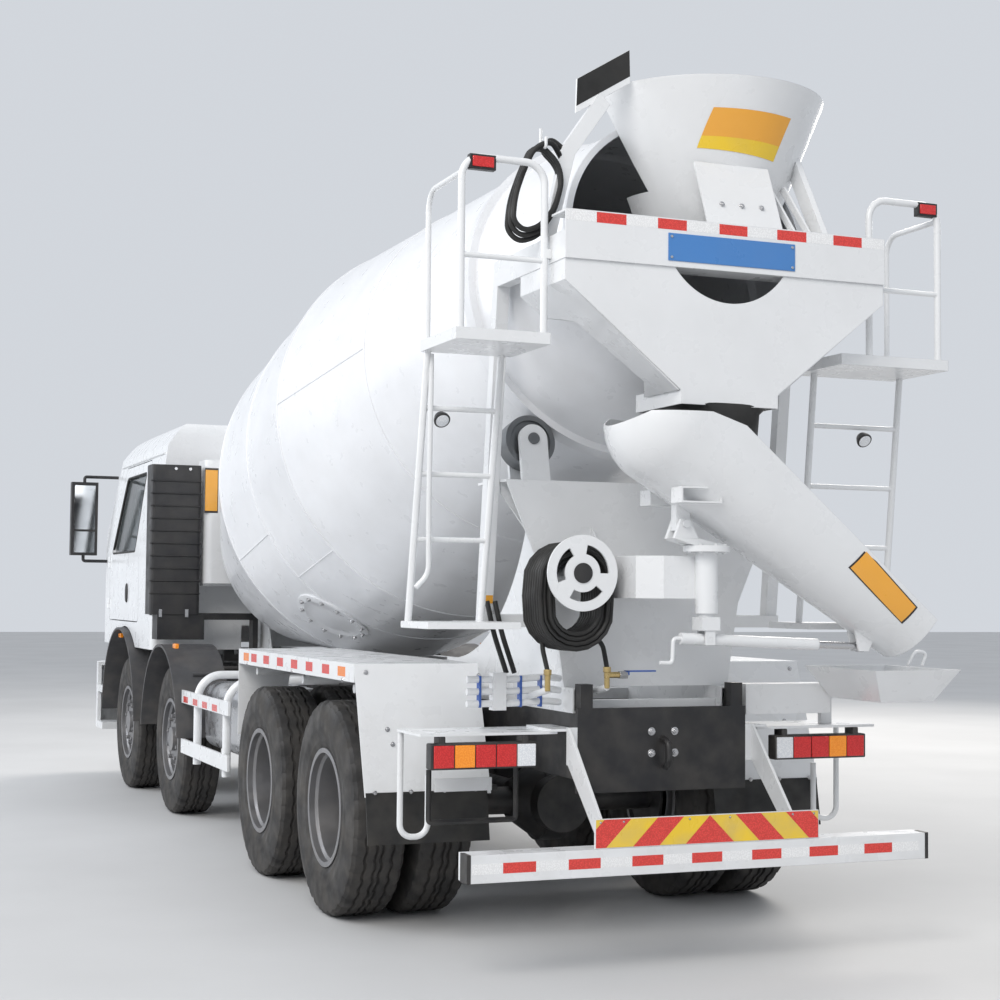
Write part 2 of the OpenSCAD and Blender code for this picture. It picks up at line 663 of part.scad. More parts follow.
// Chute's body in its own frame: X down the slope, Z out of the trough; d is how far inside the skin
module chute_body(d) {
    r = chute_r - d;
    end_r = chute_end_r - d;
    wall = 260;
    rotate([0, 90, 0]) cylinder(r1 = r, r2 = end_r, h = chute_len + d);
    sphere(r = r);
    cylinder(r = r, h = wall);
    linear_extrude(wall) polygon([[0, -r], [chute_len + d, -end_r], [chute_len + d, end_r], [0, r]]);
}

// Chute: deep tapered trough with a round closed upper end, its hinge lug and its jack lugs
module chute() {
    // Rim seen along Y: the trough is open above this line, which runs on past the lower end
    knee = [50, 2372];
    tip = [chute_x + chute_len * cos(chute_slope), chute_z - chute_len * sin(chute_slope) - 8];
    past = knee + 1.2 * (tip - knee);
    rim = [[-700, 2290], [-480, 2370], [-380, 2425], [-120, 2425], knee, past];
    lug_w = 25;
    module at_chute() translate([chute_x, swing_y, chute_z]) rotate([0, chute_slope, 0]) children();
    color(white) difference() {
        union() {
            at_chute() chute_body(0);
            box([tilt_x - 34, swing_y - lug_w, tilt_z - 30], [tilt_x + 34, swing_y + lug_w, 2060]);
            translate([tilt_x, swing_y - 62, tilt_z]) rotate([-90, 0, 0]) cylinder(r = tilt_pin_r, h = 124);
            for (side = [-1, 1]) along_y(swing_y + side * 30 - 6, swing_y + side * 30 + 6)
                polygon([[jack_eye.x - 26, jack_eye.y - 22], [jack_eye.x + 26, jack_eye.y - 22], [jack_eye.x + 80, 1500], [jack_eye.x - 60, 1540]]);
            translate([jack_eye.x, swing_y - 36, jack_eye.y]) rotate([-90, 0, 0]) cylinder(r = 8, h = 72);
            for (side = [-1, 1]) along_y(swing_y + side * 150 - 50, swing_y + side * 150 + 50) difference() {
                polygon([[-230, 2035], [-230, 2105], [-30, 2105], [-30, 2035]]);
                polygon([[-222, 2043], [-222, 2097], [-38, 2097], [-38, 2043]]);
            }
        }
        at_chute() chute_body(plate_t);
        along_y(swing_y - 400, swing_y + 400) polygon(concat(rim, [[past.x, 2900], [-700, 2900]]));
    }
}

// Frame along the jack: X runs from its hinge on the arm to the chute's pin
module jack_axes() translate([0, swing_y, jack_z]) rotate([0, atan2(jack_z - jack_eye.y, jack_eye.x), 0]) children();
jack_len = norm([jack_eye.x, jack_eye.y - jack_z]);

// Jack tube on its two trunnions, with its crank
module jack_tube() {
    r = 26;
    color(white) jack_axes() difference() {
        union() {
            translate([-130, 0, 0]) rotate([0, 90, 0]) cylinder(r = r, h = 700);
            rotate([90, 0, 0]) cylinder(r = jack_pin_r, h = 82, center = true);
            bent_tube([[-128, 0, 0], [-165, 0, 0], [-165, 0, -110], [-225, 0, -110]], 9, 18);
        }
        rotate([0, 90, 0]) translate([0, 0, 60]) cylinder(r = 16 + run_fit, h = 600);
    }
}

// Jack rod with its eye round the chute's pin
module jack_rod() {
    color(steel) jack_axes() difference() {
        union() {
            rotate([0, 90, 0]) translate([0, 0, 300]) cylinder(r = 16, h = jack_len - 320);
            translate([jack_len, 0, 0]) rotate([90, 0, 0]) cylinder(r = 26, h = 36, center = true);
        }
        translate([jack_len, 0, 0]) rotate([90, 0, 0]) cylinder(r = 15, h = 38, center = true);
    }
}

// Hose hanger: slotted disc on a stub from the pedestal
module hose_hanger() {
    c = [-520, 1730];
    disc_y = -1600;
    color(white) {
        translate([c.x, ped_y - seat_gap, c.y]) rotate([90, 0, 0]) cylinder(r = 55, h = ped_y - disc_y - 2 * seat_gap);
        translate([c.x, disc_y + 12, c.y]) rotate([90, 0, 0]) difference() {
            cylinder(r = 170, h = 12);
            for (i = [0:2]) rotate([0, 0, 120 * i]) translate([0, 0, -1]) rotate_extrude(angle = 80) translate([85, 0]) square([42, 14]);
        }
    }
}

// Wash hose hung round the hanger
module wash_hose() {
    stub = 55;
    color(rubber) translate([-520, -1330, 1730]) rotate([90, 0, 0]) linear_extrude(230) difference() {
        rounded([[-190, -350, 185], [190, -350, 185], [190, 110, 185], [-190, 110, 185]]);
        rounded([[-110, -270, 105], [110, -270, 105], [110, stub + seat_gap, 105], [-110, stub + seat_gap, 105]]);
    }
}

// Ladders, platforms and handrails on both sides
module ladders() {
    r = 16;
    foot = 1510;
    deck = 2700;
    deck_t = 50;
    rear = -1850;
    rung_step = 290;
    rail_x = [820, 1200];
    rail_y = -1834;
    held_at = 793 + seat_gap;
    // Side, inner and outer stile, station of the stiles at foot and deck, the deck's inner end
    sides = [[-1, 850, 1200, -1200, -1425, held_at], [1, 740, 1224, -1350, -1490, 660]];
    function stile_y(d, z) = d[3] + (d[4] - d[3]) * (z - foot) / (deck - foot);
    color(white) for (d = sides) mirror([d[0] < 0 ? 1 : 0, 0, 0]) {
        inn = d[1];
        out = d[2];
        for (x = [inn, out]) rod([x, stile_y(d, foot - 10), foot - 10], [x, stile_y(d, deck + 10), deck + 10], r);
        for (i = [0:2]) let (z = foot + 365 + rung_step * i) rod([inn, stile_y(d, z), z], [out, stile_y(d, z), z], 12);
        box([inn - 60, -1540, foot - 30], [out + 24, -1170, foot]);
        box([d[5], rear, deck], [out + 24, -1400, deck + deck_t]);
        bent_tube([[rail_x[1], -1420, deck + deck_t - 1], [rail_x[1], -1420, 3410], [rail_x[1], rail_y + 4, 3410]], 13, 90);
        bent_tube([[rail_x[1], rail_y, deck + deck_t - 1], [rail_x[1], rail_y, 3480], [rail_x[0], rail_y, 3480],
            [rail_x[0], rail_y, deck + deck_t - 1]], r, 90);
        rod([rail_x[1], rail_y, 3060], [rail_x[0], rail_y, 3060], 12);
        box([held_at, rear, 3070], [rail_x[0] + 2, rear + 32, 3110]);
        box([held_at, -1180, foot - 29], [inn + 60, -1000, foot - 1]);
    }
}

// Drip tray under the chute's lower end: four sloping walls, a floor and its bracket
module drip_tray() {
    low = [900, -1800];
    high = [1190, -1380];
    flare = 90;
    z = [1150, 1300];
    module trough(d) intersection() {
        along_y(low.y - flare, high.y + flare)
            polygon([[low.x + d, z[0]], [low.x - flare + d, z[1] + 1], [high.x + flare - d, z[1] + 1], [high.x - d, z[0]]]);
        along_x(low.x - flare, high.x + flare)
            polygon([[low.y + d, z[0]], [low.y - flare + d, z[1] + 1], [high.y + flare - d, z[1] + 1], [high.y - d, z[0]]]);
    }
    color(white) {
        difference() {
            intersection() {
                trough(0);
                along_z(z[0], z[1]) square(4000, center = true);
            }
            translate([0, 0, plate_t]) trough(plate_t);
        }
        box([940, -1380, z[0]], [1000, -1200, z[0] + 30]);
        box([940, -1230, 1012 + seat_gap], [1000, -1200, z[0] + 29]);
    }
}

// Mudguards over the driven wheels, with their carriers
module rear_mudguards() {
    t = 6;
    top = 1290;
    y0 = -520;
    y1 = 1860;
    inn = 600;
    color(white) both_sides() {
        box([inn, y0, top - t], [half_body, y1, top]);
        box([half_body - t, y0, 1200], [half_body, y1, top]);
        along_y(y1 - t, y1) polygon([[inn, top], [half_body, top], [half_body, 770], [half_body - 260, 770], [half_body - 330, 1180], [inn, 1180]]);
        along_x(inn, half_body) polygon([[y0, top], [y0 + t, top - t], [y0 + t - 200, 670], [y0 - 200, 670]]);
        for (y = [-330, 620, 1640]) {
            rod([half_frame, y, rail_top + 70], [half_body - 60, y, rail_top + 70], 22);
            for (x = [inn + 80, half_body - 90]) rod([x, y, rail_top + 70], [x, y, top - t], 16);
        }
    }
}

// Lamp shelves behind the rear mudguards, with their brackets and tube guards
module lamp_shelves() {
    color(white) both_sides() {
        box([520, -1330, 1000], [lamp_out, -1000, 1012]);
        box([half_frame + 6, frame_rear - 12 + seat_gap, 1012], [560, -1060, 1024]);
        bent_tube([[lamp_out - 15, -1014, 1000], [lamp_out - 15, -1014, 520], [lamp_out - 150, -1014, 520],
            [lamp_out - 150, -1014, 800]], 14, 60);
    }
}

// Tail lamps under their shelves
module tail_lamps() {
    color("firebrick") both_sides() box([620, -1340, 850], [1130, -1240, 970]);
    color(black) both_sides() for (x = [660, 1060]) box([x, -1330, 970], [x + 30, -1250, 1000]);
}

// Underride guard: bar, struts and marker board
module rear_guard() {
    color(white) {
        box([-1134, -1820, 431], [1134, -1700, 548]);
        both_sides() along_x(470, 484) polygon([[frame_rear - 26, 1030], [frame_rear - 26, 860], [-1702, 548], [-1815, 548]]);
        both_sides() box([half_frame + 6, frame_rear - 26, 860], [485, frame_rear - 12, 1030]);
    }
    color("orange") box([-555, -1818, 549], [555, -1806, 675]);
}

// Side guards between second and third axle
module side_guards() {
    x = half_body - 40;
    color(white) both_sides() {
        for (y = [axle_3 + 1100, axle_2 - 1020])
            bent_tube([[half_frame, y, 1060], [x - 30, y, 1060], [x - 30, y, 450]], 28, 160);
        box([x - 8, axle_3 + 910, 850], [x + 8, axle_2 - 650, 940]);
        box([x - 8, axle_3 + 910, 500], [x + 8, axle_2 - 650, 600]);
    }
}

// Fuel tank on the left side and battery box on the right side
module fuel_tank() {
    color(steel) {
        along_y(axle_3 + 1000, axle_2 - 900) translate([-800, 0])
            rounded([[-290, 560, 90], [270, 560, 90], [270, 1010, 90], [-290, 1010, 90]]);
        for (y = [axle_3 + 1200, axle_2 - 1100]) box([-540, y - 30, 600], [-half_frame, y + 30, 980]);
    }
}

// Air tanks and battery box on the right side
module air_tanks() {
    mid = (axle_2 + axle_3) / 2;
    color(steel) {
        for (z = [690, 915]) translate([800, mid - 500, z]) rotate([-90, 0, 0]) cylinder(r = 105, h = 850);
        for (y = [mid - 350, mid + 200]) box([half_frame, y - 20, 640], [700, y + 20, 1000]);
    }
}

// Arched mudguards over the steered wheels
module front_mudguards() {
    t = 18;
    w = [860, 1250];
    color(black) both_sides() for (m = [[axle_1, 790], [axle_2, 700]])
        difference() {
            translate([w[0], m[0], hub_z]) rotate([0, 90, 0]) cylinder(r = m[1], h = w[1] - w[0]);
            translate([w[0] - 1, m[0], hub_z]) rotate([0, 90, 0]) cylinder(r = m[1] - t, h = w[1] - w[0] + 2);
            box([w[0] - 2, m[0] - 900, -400], [w[1] + 2, m[0] + 900, hub_z + 60]);
        }
    carrier_z = rail_top - 50 - hub_z;
    color(black) both_sides() for (m = [[axle_1, 790], [axle_2, 700]], side = [-1, 1]) {
        y = m[0] + side * sqrt(pow(m[1] + 6, 2) - pow(carrier_z, 2));
        rod([half_frame, y, hub_z + carrier_z], [1100, y, hub_z + carrier_z], 16);
    }
}

// Engine and gearbox as one plain block between the rails
module engine() {
    color(black) {
        box([-330, cab_rear + 140, 700], [330, cab_rear + 1500, 1150]);
        box([-200, sub_front - 680, 720], [200, cab_rear + 141, 1040]);
        both_sides() for (y = [cab_rear + 300, cab_rear + 1250])
            box([329, y, 900], [half_frame - rail_t, y + 120, 960]);
    }
}

// Air intake stack behind the cab
module air_intake() {
    color(black) {
        translate([-1090, cab_rear - 280, 0]) along_z(1460, 2600)
            rounded([[-190, -110, 30], [190, -110, 30], [190, 110, 30], [-190, 110, 30]]);
        box([-1220, cab_rear - 380, 1270], [-860, cab_rear - 180, 1461]);
        box([-1000, cab_rear - 340, 1420], [-half_frame, cab_rear - 220, 1470]);
        box([-half_frame - 40, cab_rear - 340, rail_z + 100], [-half_frame, cab_rear - 220, 1421]);
    }
}

// Bumper: a shell with steps at its sides and a headlamp in each pocket
module bumper() {
    z = [420, 1000];
    t = 30;
    rear = front_y - 640;
    half = half_cab + 35;
    back = front_y - 330;
    lamp = [[700, 620], [1110, 850]];
    function plan(d) = [[-half + d, rear, 0], [half - d, rear, 0], [half - d, front_y - d, 260 - d],
        [-half + d, front_y - d, 260 - d]];
    module at_lamps(g) both_sides() along_y(back, front_y + 1) translate(lamp[0] - [g, g]) square(lamp[1] - lamp[0] + 2 * [g, g]);
    color(white) {
        difference() {
            intersection() {
                along_z(z[0], z[1]) rounded(plan(0));
                union() {
                    box([-half - 1, back, z[0]], [half + 1, front_y + 1, z[1]]);
                    both_sides() for (step_z = [z[0], 740]) box([half - 230, rear + 30, step_z], [half + 1, front_y, step_z + 60]);
                }
            }
            intersection() {
                along_z(z[0] + t, z[1] - t) rounded(plan(t));
                box([-half - 1, back - 1, z[0]], [half + 1, front_y + 1, z[1]]);
            }
            at_lamps(0);
        }
        both_sides() box([half_frame - 60, back, 800], [half_frame, front_y - t + 1, z[1] - 1]);
    }
    // Headlamps: housings with a bulged front, seated in their pockets
    color(steel) intersection() {
        at_lamps(-seat_gap);
        difference() {
            along_z(z[0], z[1]) rounded(plan(5));
            along_z(z[0] - 1, z[1] + 1) rounded(plan(90));
        }
    }
}

grille_out = 24;

// Cab outlines: each corner is x, y, radius; d is how far inside the outer skin
function cab_side(d) = [[cab_rear + d, cab_z + d, 0], [cab_front - 40 - d, cab_z + d, 0], [cab_front - d, 1500, 0],
    [cab_front - 90 - d, 1980, 0], [cab_front - 430 - d, cab_top - 90 - d, 240 - d], [cab_rear + 900, cab_top - d, 0],
    [cab_rear + d, cab_top - 50 - d, 110 - d]];
function cab_front_view(d) = [[-half_cab + d, cab_z - 200, 0], [half_cab - d, cab_z - 200, 0], [half_cab - d, 1980, 0],
    [half_cab - 110 - d, cab_top - 220, 0], [half_cab - 250 - d, cab_top - 20 - d, 260 - d], [0, cab_top - d, 0],
    [-half_cab + 250 + d, cab_top - 20 - d, 260 - d],
    [-half_cab + 110 + d, cab_top - 220, 0], [-half_cab + d, 1980, 0]];
function cab_plan(d) = [[-half_cab + d, cab_rear + d, 50 - d / 2], [half_cab - d, cab_rear + d, 50 - d / 2],
    [half_cab - d, cab_front - d, 260 - d], [-half_cab + d, cab_front - d, 260 - d]];
module cab_solid(d) intersection() {
    along_x(-half_cab, half_cab) rounded(cab_side(d));
    along_y(cab_rear - 1, cab_front + grille_out + 1) rounded(cab_front_view(d));
    along_z(cab_z - 1, cab_top + 1) rounded(cab_plan(d));
}

// Door outline seen from the side, with g grown on every edge
door_y = [cab_rear + 580, cab_front - 460];
door_z = [1390, 2700];
module door_outline(g) rounded([[door_y[0] - g, door_z[0] - g, 60], [door_y[1] + g, door_z[0] - g, 60],
    [door_y[1] + g, 1980, 0], [door_y[1] - 240 + g, door_z[1] + g, 60], [door_y[0] - g, door_z[1] + g, 60]]);
module door_window(g) rounded([[door_y[0] + 170 - g, 1960 - g, 50], [door_y[1] - 120 + g, 1960 - g, 50],
    [door_y[1] - 330 + g, door_z[1] - 90 + g, 50], [door_y[0] + 170 - g, door_z[1] - 90 + g, 50]]);
module windscreen_outline(g) rounded([[-1010 - g, 1990 - g, 60], [1010 + g, 1990 - g, 60], [930 + g, 2700 + g, 60], [-930 - g, 2700 + g, 60]]);

// Door hinges: pins on the shell in knuckles on both, at the door's front edge
hinge_at = [half_cab + 2, door_y[1] + door_gap / 2];
hinge_z = [1480, 1840];
hinge_h = 90;
knuckle_r = 15;
hinge_pin_r = 7;
module at_hinges(side) for (z = hinge_z) translate([side * hinge_at.x, hinge_at.y, z]) children();

// Cab shell with door openings, windscreen opening, wheel arches and engine tunnel
module cab_shell() {
    arch_r = 800;
    arch_in = 850;
    tunnel = [500, cab_front - 320, 1390];
    t = 20;
    grille = [[-800, 1250], [800, 1880]];
    slat_pitch = 90;
    module arches(r) both_sides() translate([arch_in, axle_1, hub_z]) rotate([0, 90, 0])
        cylinder(r = r, h = half_cab - arch_in + 1);
    // Grille on the nose: a raised frame and slats over a thin plate
    module slots() for (i = [0:5]) translate([grille[0].x + 60, grille[0].y + 60 + slat_pitch * i])
        square([grille[1].x - grille[0].x - 120, slat_pitch - 28]);
    for (layer = [[8, 0], [grille_out, 1]]) color(black) intersection() {
        difference() {
            cab_solid(-layer[0]);
            cab_solid(1);
        }
        along_y(cab_front - 200, cab_front + 100) difference() {
            translate(grille[0]) square(grille[1] - grille[0]);
            if (layer[1] > 0) slots();
        }
    }
    color(white) {
        difference() {
            union() {
                difference() {
                    cab_solid(0);
                    difference() {
                        cab_solid(cab_t);
                        arches(arch_r + cab_t);
                        box([-tunnel.x, cab_rear, cab_z], tunnel);
                    }
                }
                both_sides() along_x(half_frame - 60, half_frame - 22) pivot_plate(cab_z + 1);
            }
            along_x(-half_cab - 1, half_cab + 1) door_outline(door_gap);
            along_y(cab_front - 500, cab_front + 10) windscreen_outline(0);
            arches(arch_r);
            box([-tunnel.x + t, cab_rear - 1, cab_z - 1], [tunnel.x - t, tunnel.y - t, tunnel.z - t]);
            both_sides() translate([0, pivot.x, pivot.y]) rotate([0, 90, 0]) cylinder(r = pivot_r + run_fit, h = half_cab);
            for (side = [-1, 1]) at_hinges(side) translate([0, 0, -2]) cylinder(r = knuckle_r + 4, h = hinge_h / 2 + 4);
        }
        for (side = [-1, 1]) at_hinges(side) {
            translate([0, 0, hinge_h / 2 + 2.5]) cylinder(r = knuckle_r, h = hinge_h / 2);
            cylinder(r = hinge_pin_r, h = hinge_h);
        }
    }
}

// Windscreen, set in the shell's opening
module cab_glass() {
    color("lightsteelblue") intersection() {
        difference() {
            cab_solid(14);
            cab_solid(22);
        }
        along_y(cab_front - 500, cab_front + 10) windscreen_outline(-1);
    }
}

module door(side) difference() {
    union() {
        door_panel(side);
        at_hinges(side) cylinder(r = knuckle_r, h = hinge_h / 2);
        at_hinges(side) translate([-side * 12 - 10, -40, 0]) cube([20, 30, hinge_h / 2]);
    }
    at_hinges(side) translate([0, 0, -1]) cylinder(r = hinge_pin_r + run_fit, h = hinge_h);
    at_hinges(side) translate([0, 0, hinge_h / 2]) cylinder(r = knuckle_r + 4, h = hinge_h);
}

module door_panel(side) {
    intersection() {
        difference() {
            cab_solid(0);
            cab_solid(cab_t);
            along_x(-half_cab - 1, half_cab + 1) door_window(0);
        }
        along_x(side > 0 ? half_cab - 260 : -half_cab - 1, side > 0 ? half_cab + 1 : -half_cab + 260) door_outline(0);
    }
}

module cab_seats() {
    color("darkgray") both_sides() translate([0, door_y[0], 0]) {
        box([550, 190, 1560], [1030, 690, 1680]);
        box([550, 60, 1679], [1030, 190, 2380]);
        box([620, 240, cab_z + cab_t], [800, 640, 1561]);
    }
}

module dashboard() {
    color(black) {
        box([-half_cab + 115, cab_front - 570, 1600], [half_cab - 115, cab_front - 220, 1900]);
        both_sides() box([700, cab_front - 320, cab_z + cab_t], [760, cab_front - 280, 1601]);
    }
}

// How far out the cab's skin is at the lower edge of an arm of radius r at height z
function mirror_foot(z, r) = half_cab - max(0, z - r - 1980) * 110 / (cab_top - 220 - 1980) + seat_gap;

// Mirrors on their arms at the front pillars
module mirrors() {
    arm_r = 14;
    x = half_cab + 210;
    y = cab_front - 275;
    color(black) both_sides() {
        box([x - 115, y - 45, 1950], [x + 115, y + 45, 2600]);
        for (z = [[1900, 1960], [2650, 2590]])
            bent_tube([[mirror_foot(z[0], arm_r), y, z[0]], [x, y, z[0]], [x, y, z[1]]], arm_r, 20);
    }
}

module placed() translate([0, rear_axle_y, 0]) children();

placed() frame_rails();
placed() subframe();
placed() front_pedestal();
placed() rear_pedestal();
placed() steer_axles();
placed() drive_axles();
placed() leaf_springs();
placed() engine();
placed() fuel_tank();
placed() air_tanks();
placed() side_guards();
placed() front_mudguards();
placed() rear_mudguards();
placed() lamp_shelves();
placed() tail_lamps();
placed() rear_guard();
placed() bumper();
placed() air_intake();
placed() gearbox();
placed() drum();
placed() roller(-1);  // roller_left
placed() roller(1);  // roller_right
placed() hopper_frame();
placed() feed_hopper();
placed() collecting_hopper();
placed() chute_arm();
placed() chute();
placed() jack_tube();
placed() jack_rod();
placed() hose_hanger();
placed() wash_hose();
placed() ladders();
placed() drip_tray();
placed() cab_shell();
placed() cab_glass();
placed() color(white) door(-1);  // door_left
placed() color(white) door(1);  // door_right
placed() cab_seats();
placed() dashboard();
placed() mirrors();
placed() left_hub(front_track, axle_1) knuckle();  // knuckle_1_left
placed() right_hub(front_track, axle_1) knuckle();  // knuckle_1_right
placed() left_hub(front_track, axle_2) knuckle();  // knuckle_2_left
placed() right_hub(front_track, axle_2) knuckle();  // knuckle_2_right
placed() left_hub(front_track, axle_1) tyre();  // tyre_1_left
placed() right_hub(front_track, axle_1) tyre();  // tyre_1_right
placed() left_hub(front_track, axle_2) tyre();  // tyre_2_left
placed() right_hub(front_track, axle_2) tyre();  // tyre_2_right
placed() left_hub(rear_track, axle_3) dual_tyres();  // tyres_3_left
placed() right_hub(rear_track, axle_3) dual_tyres();  // tyres_3_right
placed() left_hub(rear_track, axle_4) dual_tyres();  // tyres_4_left
placed() right_hub(rear_track, axle_4) dual_tyres();  // tyres_4_right
placed() left_hub(front_track, axle_1) front_wheel();  // wheel_1_left
placed() right_hub(front_track, axle_1) front_wheel();  // wheel_1_right
placed() left_hub(front_track, axle_2) front_wheel();  // wheel_2_left
placed() right_hub(front_track, axle_2) front_wheel();  // wheel_2_right
placed() left_hub(rear_track, axle_3) rear_wheels();  // wheels_3_left
placed() right_hub(rear_track, axle_3) rear_wheels();  // wheels_3_right
placed() left_hub(rear_track, axle_4) rear_wheels();  // wheels_4_left
placed() right_hub(rear_track, axle_4) rear_wheels();  // wheels_4_right
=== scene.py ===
import json
import math

import bmesh
import bpy
from mathutils import Matrix, Vector


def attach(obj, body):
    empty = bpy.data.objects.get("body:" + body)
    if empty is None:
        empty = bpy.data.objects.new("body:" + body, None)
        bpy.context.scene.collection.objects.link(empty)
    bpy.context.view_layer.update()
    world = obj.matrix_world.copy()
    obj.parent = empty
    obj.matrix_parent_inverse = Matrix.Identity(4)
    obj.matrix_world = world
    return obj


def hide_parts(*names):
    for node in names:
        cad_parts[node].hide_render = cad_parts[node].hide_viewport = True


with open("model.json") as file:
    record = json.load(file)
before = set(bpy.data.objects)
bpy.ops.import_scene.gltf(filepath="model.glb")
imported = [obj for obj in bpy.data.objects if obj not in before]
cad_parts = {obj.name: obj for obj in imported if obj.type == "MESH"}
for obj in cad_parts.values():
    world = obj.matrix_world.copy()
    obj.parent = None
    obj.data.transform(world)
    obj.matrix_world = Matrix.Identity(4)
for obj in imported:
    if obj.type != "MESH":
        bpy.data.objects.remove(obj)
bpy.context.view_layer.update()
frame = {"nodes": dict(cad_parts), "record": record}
NODES = frame["nodes"]

# Lengths are in metres. The axles are at their places in the row's frame; every other piece is written with Y from
# the rearmost axle, and Shape.piece() moves it into that frame.
REAR_AXLE_Y = -2.770
AXLES_Y = {1: 3.380, 2: 1.580, 3: -1.420, 4: REAR_AXLE_Y}
HUB_Z = 0.5425
FRONT_TYRE_X = 1.022
REAR_PAIR_X = 0.925
DUAL_GAP = 0.344
SIDES = ((-1, "left"), (1, "right"))

# Drum: stations lie along its axis, from a point inside its middle cylinder, and rise towards the mouth
DRUM_TILT = math.radians(11.6)
DRUM_AXIS = Vector((0, -math.cos(DRUM_TILT), math.sin(DRUM_TILT)))
DRUM_UP = Vector((0, math.sin(DRUM_TILT), math.cos(DRUM_TILT)))
DRUM_ORIGIN = Vector((0, 2.350, 2.430))
DRUM_R = 1.175
CYLINDER_START, CYLINDER_END = -0.407, 1.108
RING_SEAM, CONE_SEAM = 0.35, 2.2

# Faces that carry films, plates, stickers and small parts
UNDERRIDE_Y = -1.820
BEAM_Y = -2.000
GUARD_X = 1.208
MUDGUARD_X = 1.240
CAB_SIDE_X = 1.195
INTAKE_Y = 4.600
FILM = 0.0006

# Wash hose: its coil's middle, and X and top of the two valves under it
COIL_X = -0.52
VALVE_Y = -1.42
VALVES = ((-0.61, 1.295), (-0.315, 1.305))


def linked(name, data):
    """A new object of the data, in the scene."""
    made = bpy.data.objects.new(name, data)
    bpy.context.collection.objects.link(made)
    return made


# Camera, at the place and angle that the photo gives

def make_camera():
    at = Vector((-3.741, -11.400, 1.630))
    yaw, pitch, roll = math.radians(-21.865), math.radians(3.12), math.radians(0.499)
    sensor_mm, lens_in_sensors, far = 36, 1.741558, 200
    ahead = Vector((-math.sin(yaw) * math.cos(pitch), math.cos(yaw) * math.cos(pitch), math.sin(pitch)))
    right = Vector((math.cos(yaw), math.sin(yaw), 0))
    up = right.cross(ahead)
    turned_right = right * math.cos(roll) + up * math.sin(roll)
    turned_up = up * math.cos(roll) - right * math.sin(roll)
    data = bpy.data.cameras.new("camera")
    data.sensor_width = sensor_mm
    data.lens = sensor_mm * lens_in_sensors
    data.clip_end = far
    camera = linked("camera", data)
    facing = Matrix((turned_right, turned_up, -ahead)).transposed().to_4x4()
    camera.matrix_world = Matrix.Translation(at) @ facing
    bpy.context.scene.camera = camera


# Materials

DUST = (0.36, 0.32, 0.27, 1)


def solid(colour):
    return tuple(colour) + (1,)


class Look:
    """A material in the making: most methods add a node and give back its output."""

    def __init__(self, name):
        self.made = bpy.data.materials.new(name)
        self.made.use_nodes = True
        self.nodes, self.links = self.made.node_tree.nodes, self.made.node_tree.links
        self.shader = self.nodes["Principled BSDF"]

    def fill(self, node, inputs):
        """Gives a node's inputs plain values, or links to other nodes' outputs."""
        for name, value in inputs.items():
            if isinstance(value, bpy.types.NodeSocket):
                self.links.new(value, node.inputs[name])
            else:
                node.inputs[name].default_value = value

    def add(self, kind, inputs, **settings):
        node = self.nodes.new(kind)
        for name, value in settings.items():
            setattr(node, name, value)
        self.fill(node, inputs)
        return node

    def place(self):
        return self.nodes.new("ShaderNodeTexCoord").outputs["Object"]

    def noise(self, scale, detail):
        node = self.add("ShaderNodeTexNoise", {"Scale": scale, "Detail": detail, "Vector": self.place()})
        return node.outputs["Fac"]

    def spread(self, value, low, high, start=0.35, end=0.65):
        """Turns the part of a value from start to end, at first a noise's middle, into the range low to high."""
        inputs = {"Value": value, "From Min": start, "From Max": end, "To Min": low, "To Max": high}
        return self.add("ShaderNodeMapRange", inputs).outputs["Result"]

    def clouds(self, scale, detail, a, b):
        """Two colours that pass into each other by a noise."""
        return self.mix(self.spread(self.noise(scale, detail), 0, 1), a, b)

    def mix(self, factor, a, b):
        return self.add("ShaderNodeMix", {"Factor": factor, 6: a, 7: b}, data_type="RGBA").outputs[2]

    def count(self, operation, a, b):
        return self.add("ShaderNodeMath", {0: a, 1: b}, operation=operation).outputs[0]

    def bump(self, height, strength, depth, **more):
        inputs = {"Strength": strength, "Distance": depth, "Height": height, **more}
        return self.add("ShaderNodeBump", inputs).outputs["Normal"]


def finish(name, colour, rough, metal=0.0, coat=0.0, patch=0.93, dust=0.10, low_dust=0.35, grain=180,
           grain_depth=0.0002, soften=0.004):
    """Paint, metal, plastic or rubber: uneven colour, dust that grows towards the ground, grain and soft edges."""
    dusty_z, clean_z = 0.25, 1.5
    look = Look(name)
    base = look.clouds(2.2, 6, solid(colour), solid(c * patch for c in colour))
    height = look.add("ShaderNodeSeparateXYZ", {"Vector": look.place()}).outputs["Z"]
    dust_here = look.count("ADD", look.spread(height, low_dust, 0, dusty_z, clean_z), dust)
    dust_here = look.count("MULTIPLY", dust_here, look.spread(look.noise(7, 8), 0, 1, 0.38, 0.72))
    edge = {}
    if soften:
        edge["Normal"] = look.add("ShaderNodeBevel", {"Radius": soften}, samples=4).outputs["Normal"]
    look.fill(look.shader, {
        "Base Color": look.mix(dust_here, base, DUST),
        "Roughness": look.spread(look.noise(9, 5), rough * 0.8, min(rough * 1.3, 1)),
        "Metallic": metal,
        "Coat Weight": coat,
        "Coat Roughness": 0.12,
        "Normal": look.bump(look.noise(grain, 3), 0.35, grain_depth, **edge),
    })
    return look.made


def lens(name, colour, glow=0.0):
    """Lamp lens or reflector with fine prisms, whose cells carry painted glints: lighter colour towards each cell's
    middle.
    """
    look = Look(name)
    cells = look.add("ShaderNodeTexVoronoi", {"Scale": 160, "Vector": look.place()}).outputs["Distance"]
    # Painted glints: each prism cell's colour is lighter towards its middle, as if the cell caught the light
    painted_glint = solid(min(c * 1.5 + 0.02, 1) for c in colour)
    look.fill(look.shader, {
        "Base Color": look.mix(look.spread(cells, 0, 1, 0, 0.6), painted_glint, solid(colour)),
        "Roughness": 0.18,
        "Coat Weight": 0.5,
        "Emission Color": solid(colour),
        "Emission Strength": glow,
        "Normal": look.bump(cells, 0.4, 0.0006),
    })
    return look.made


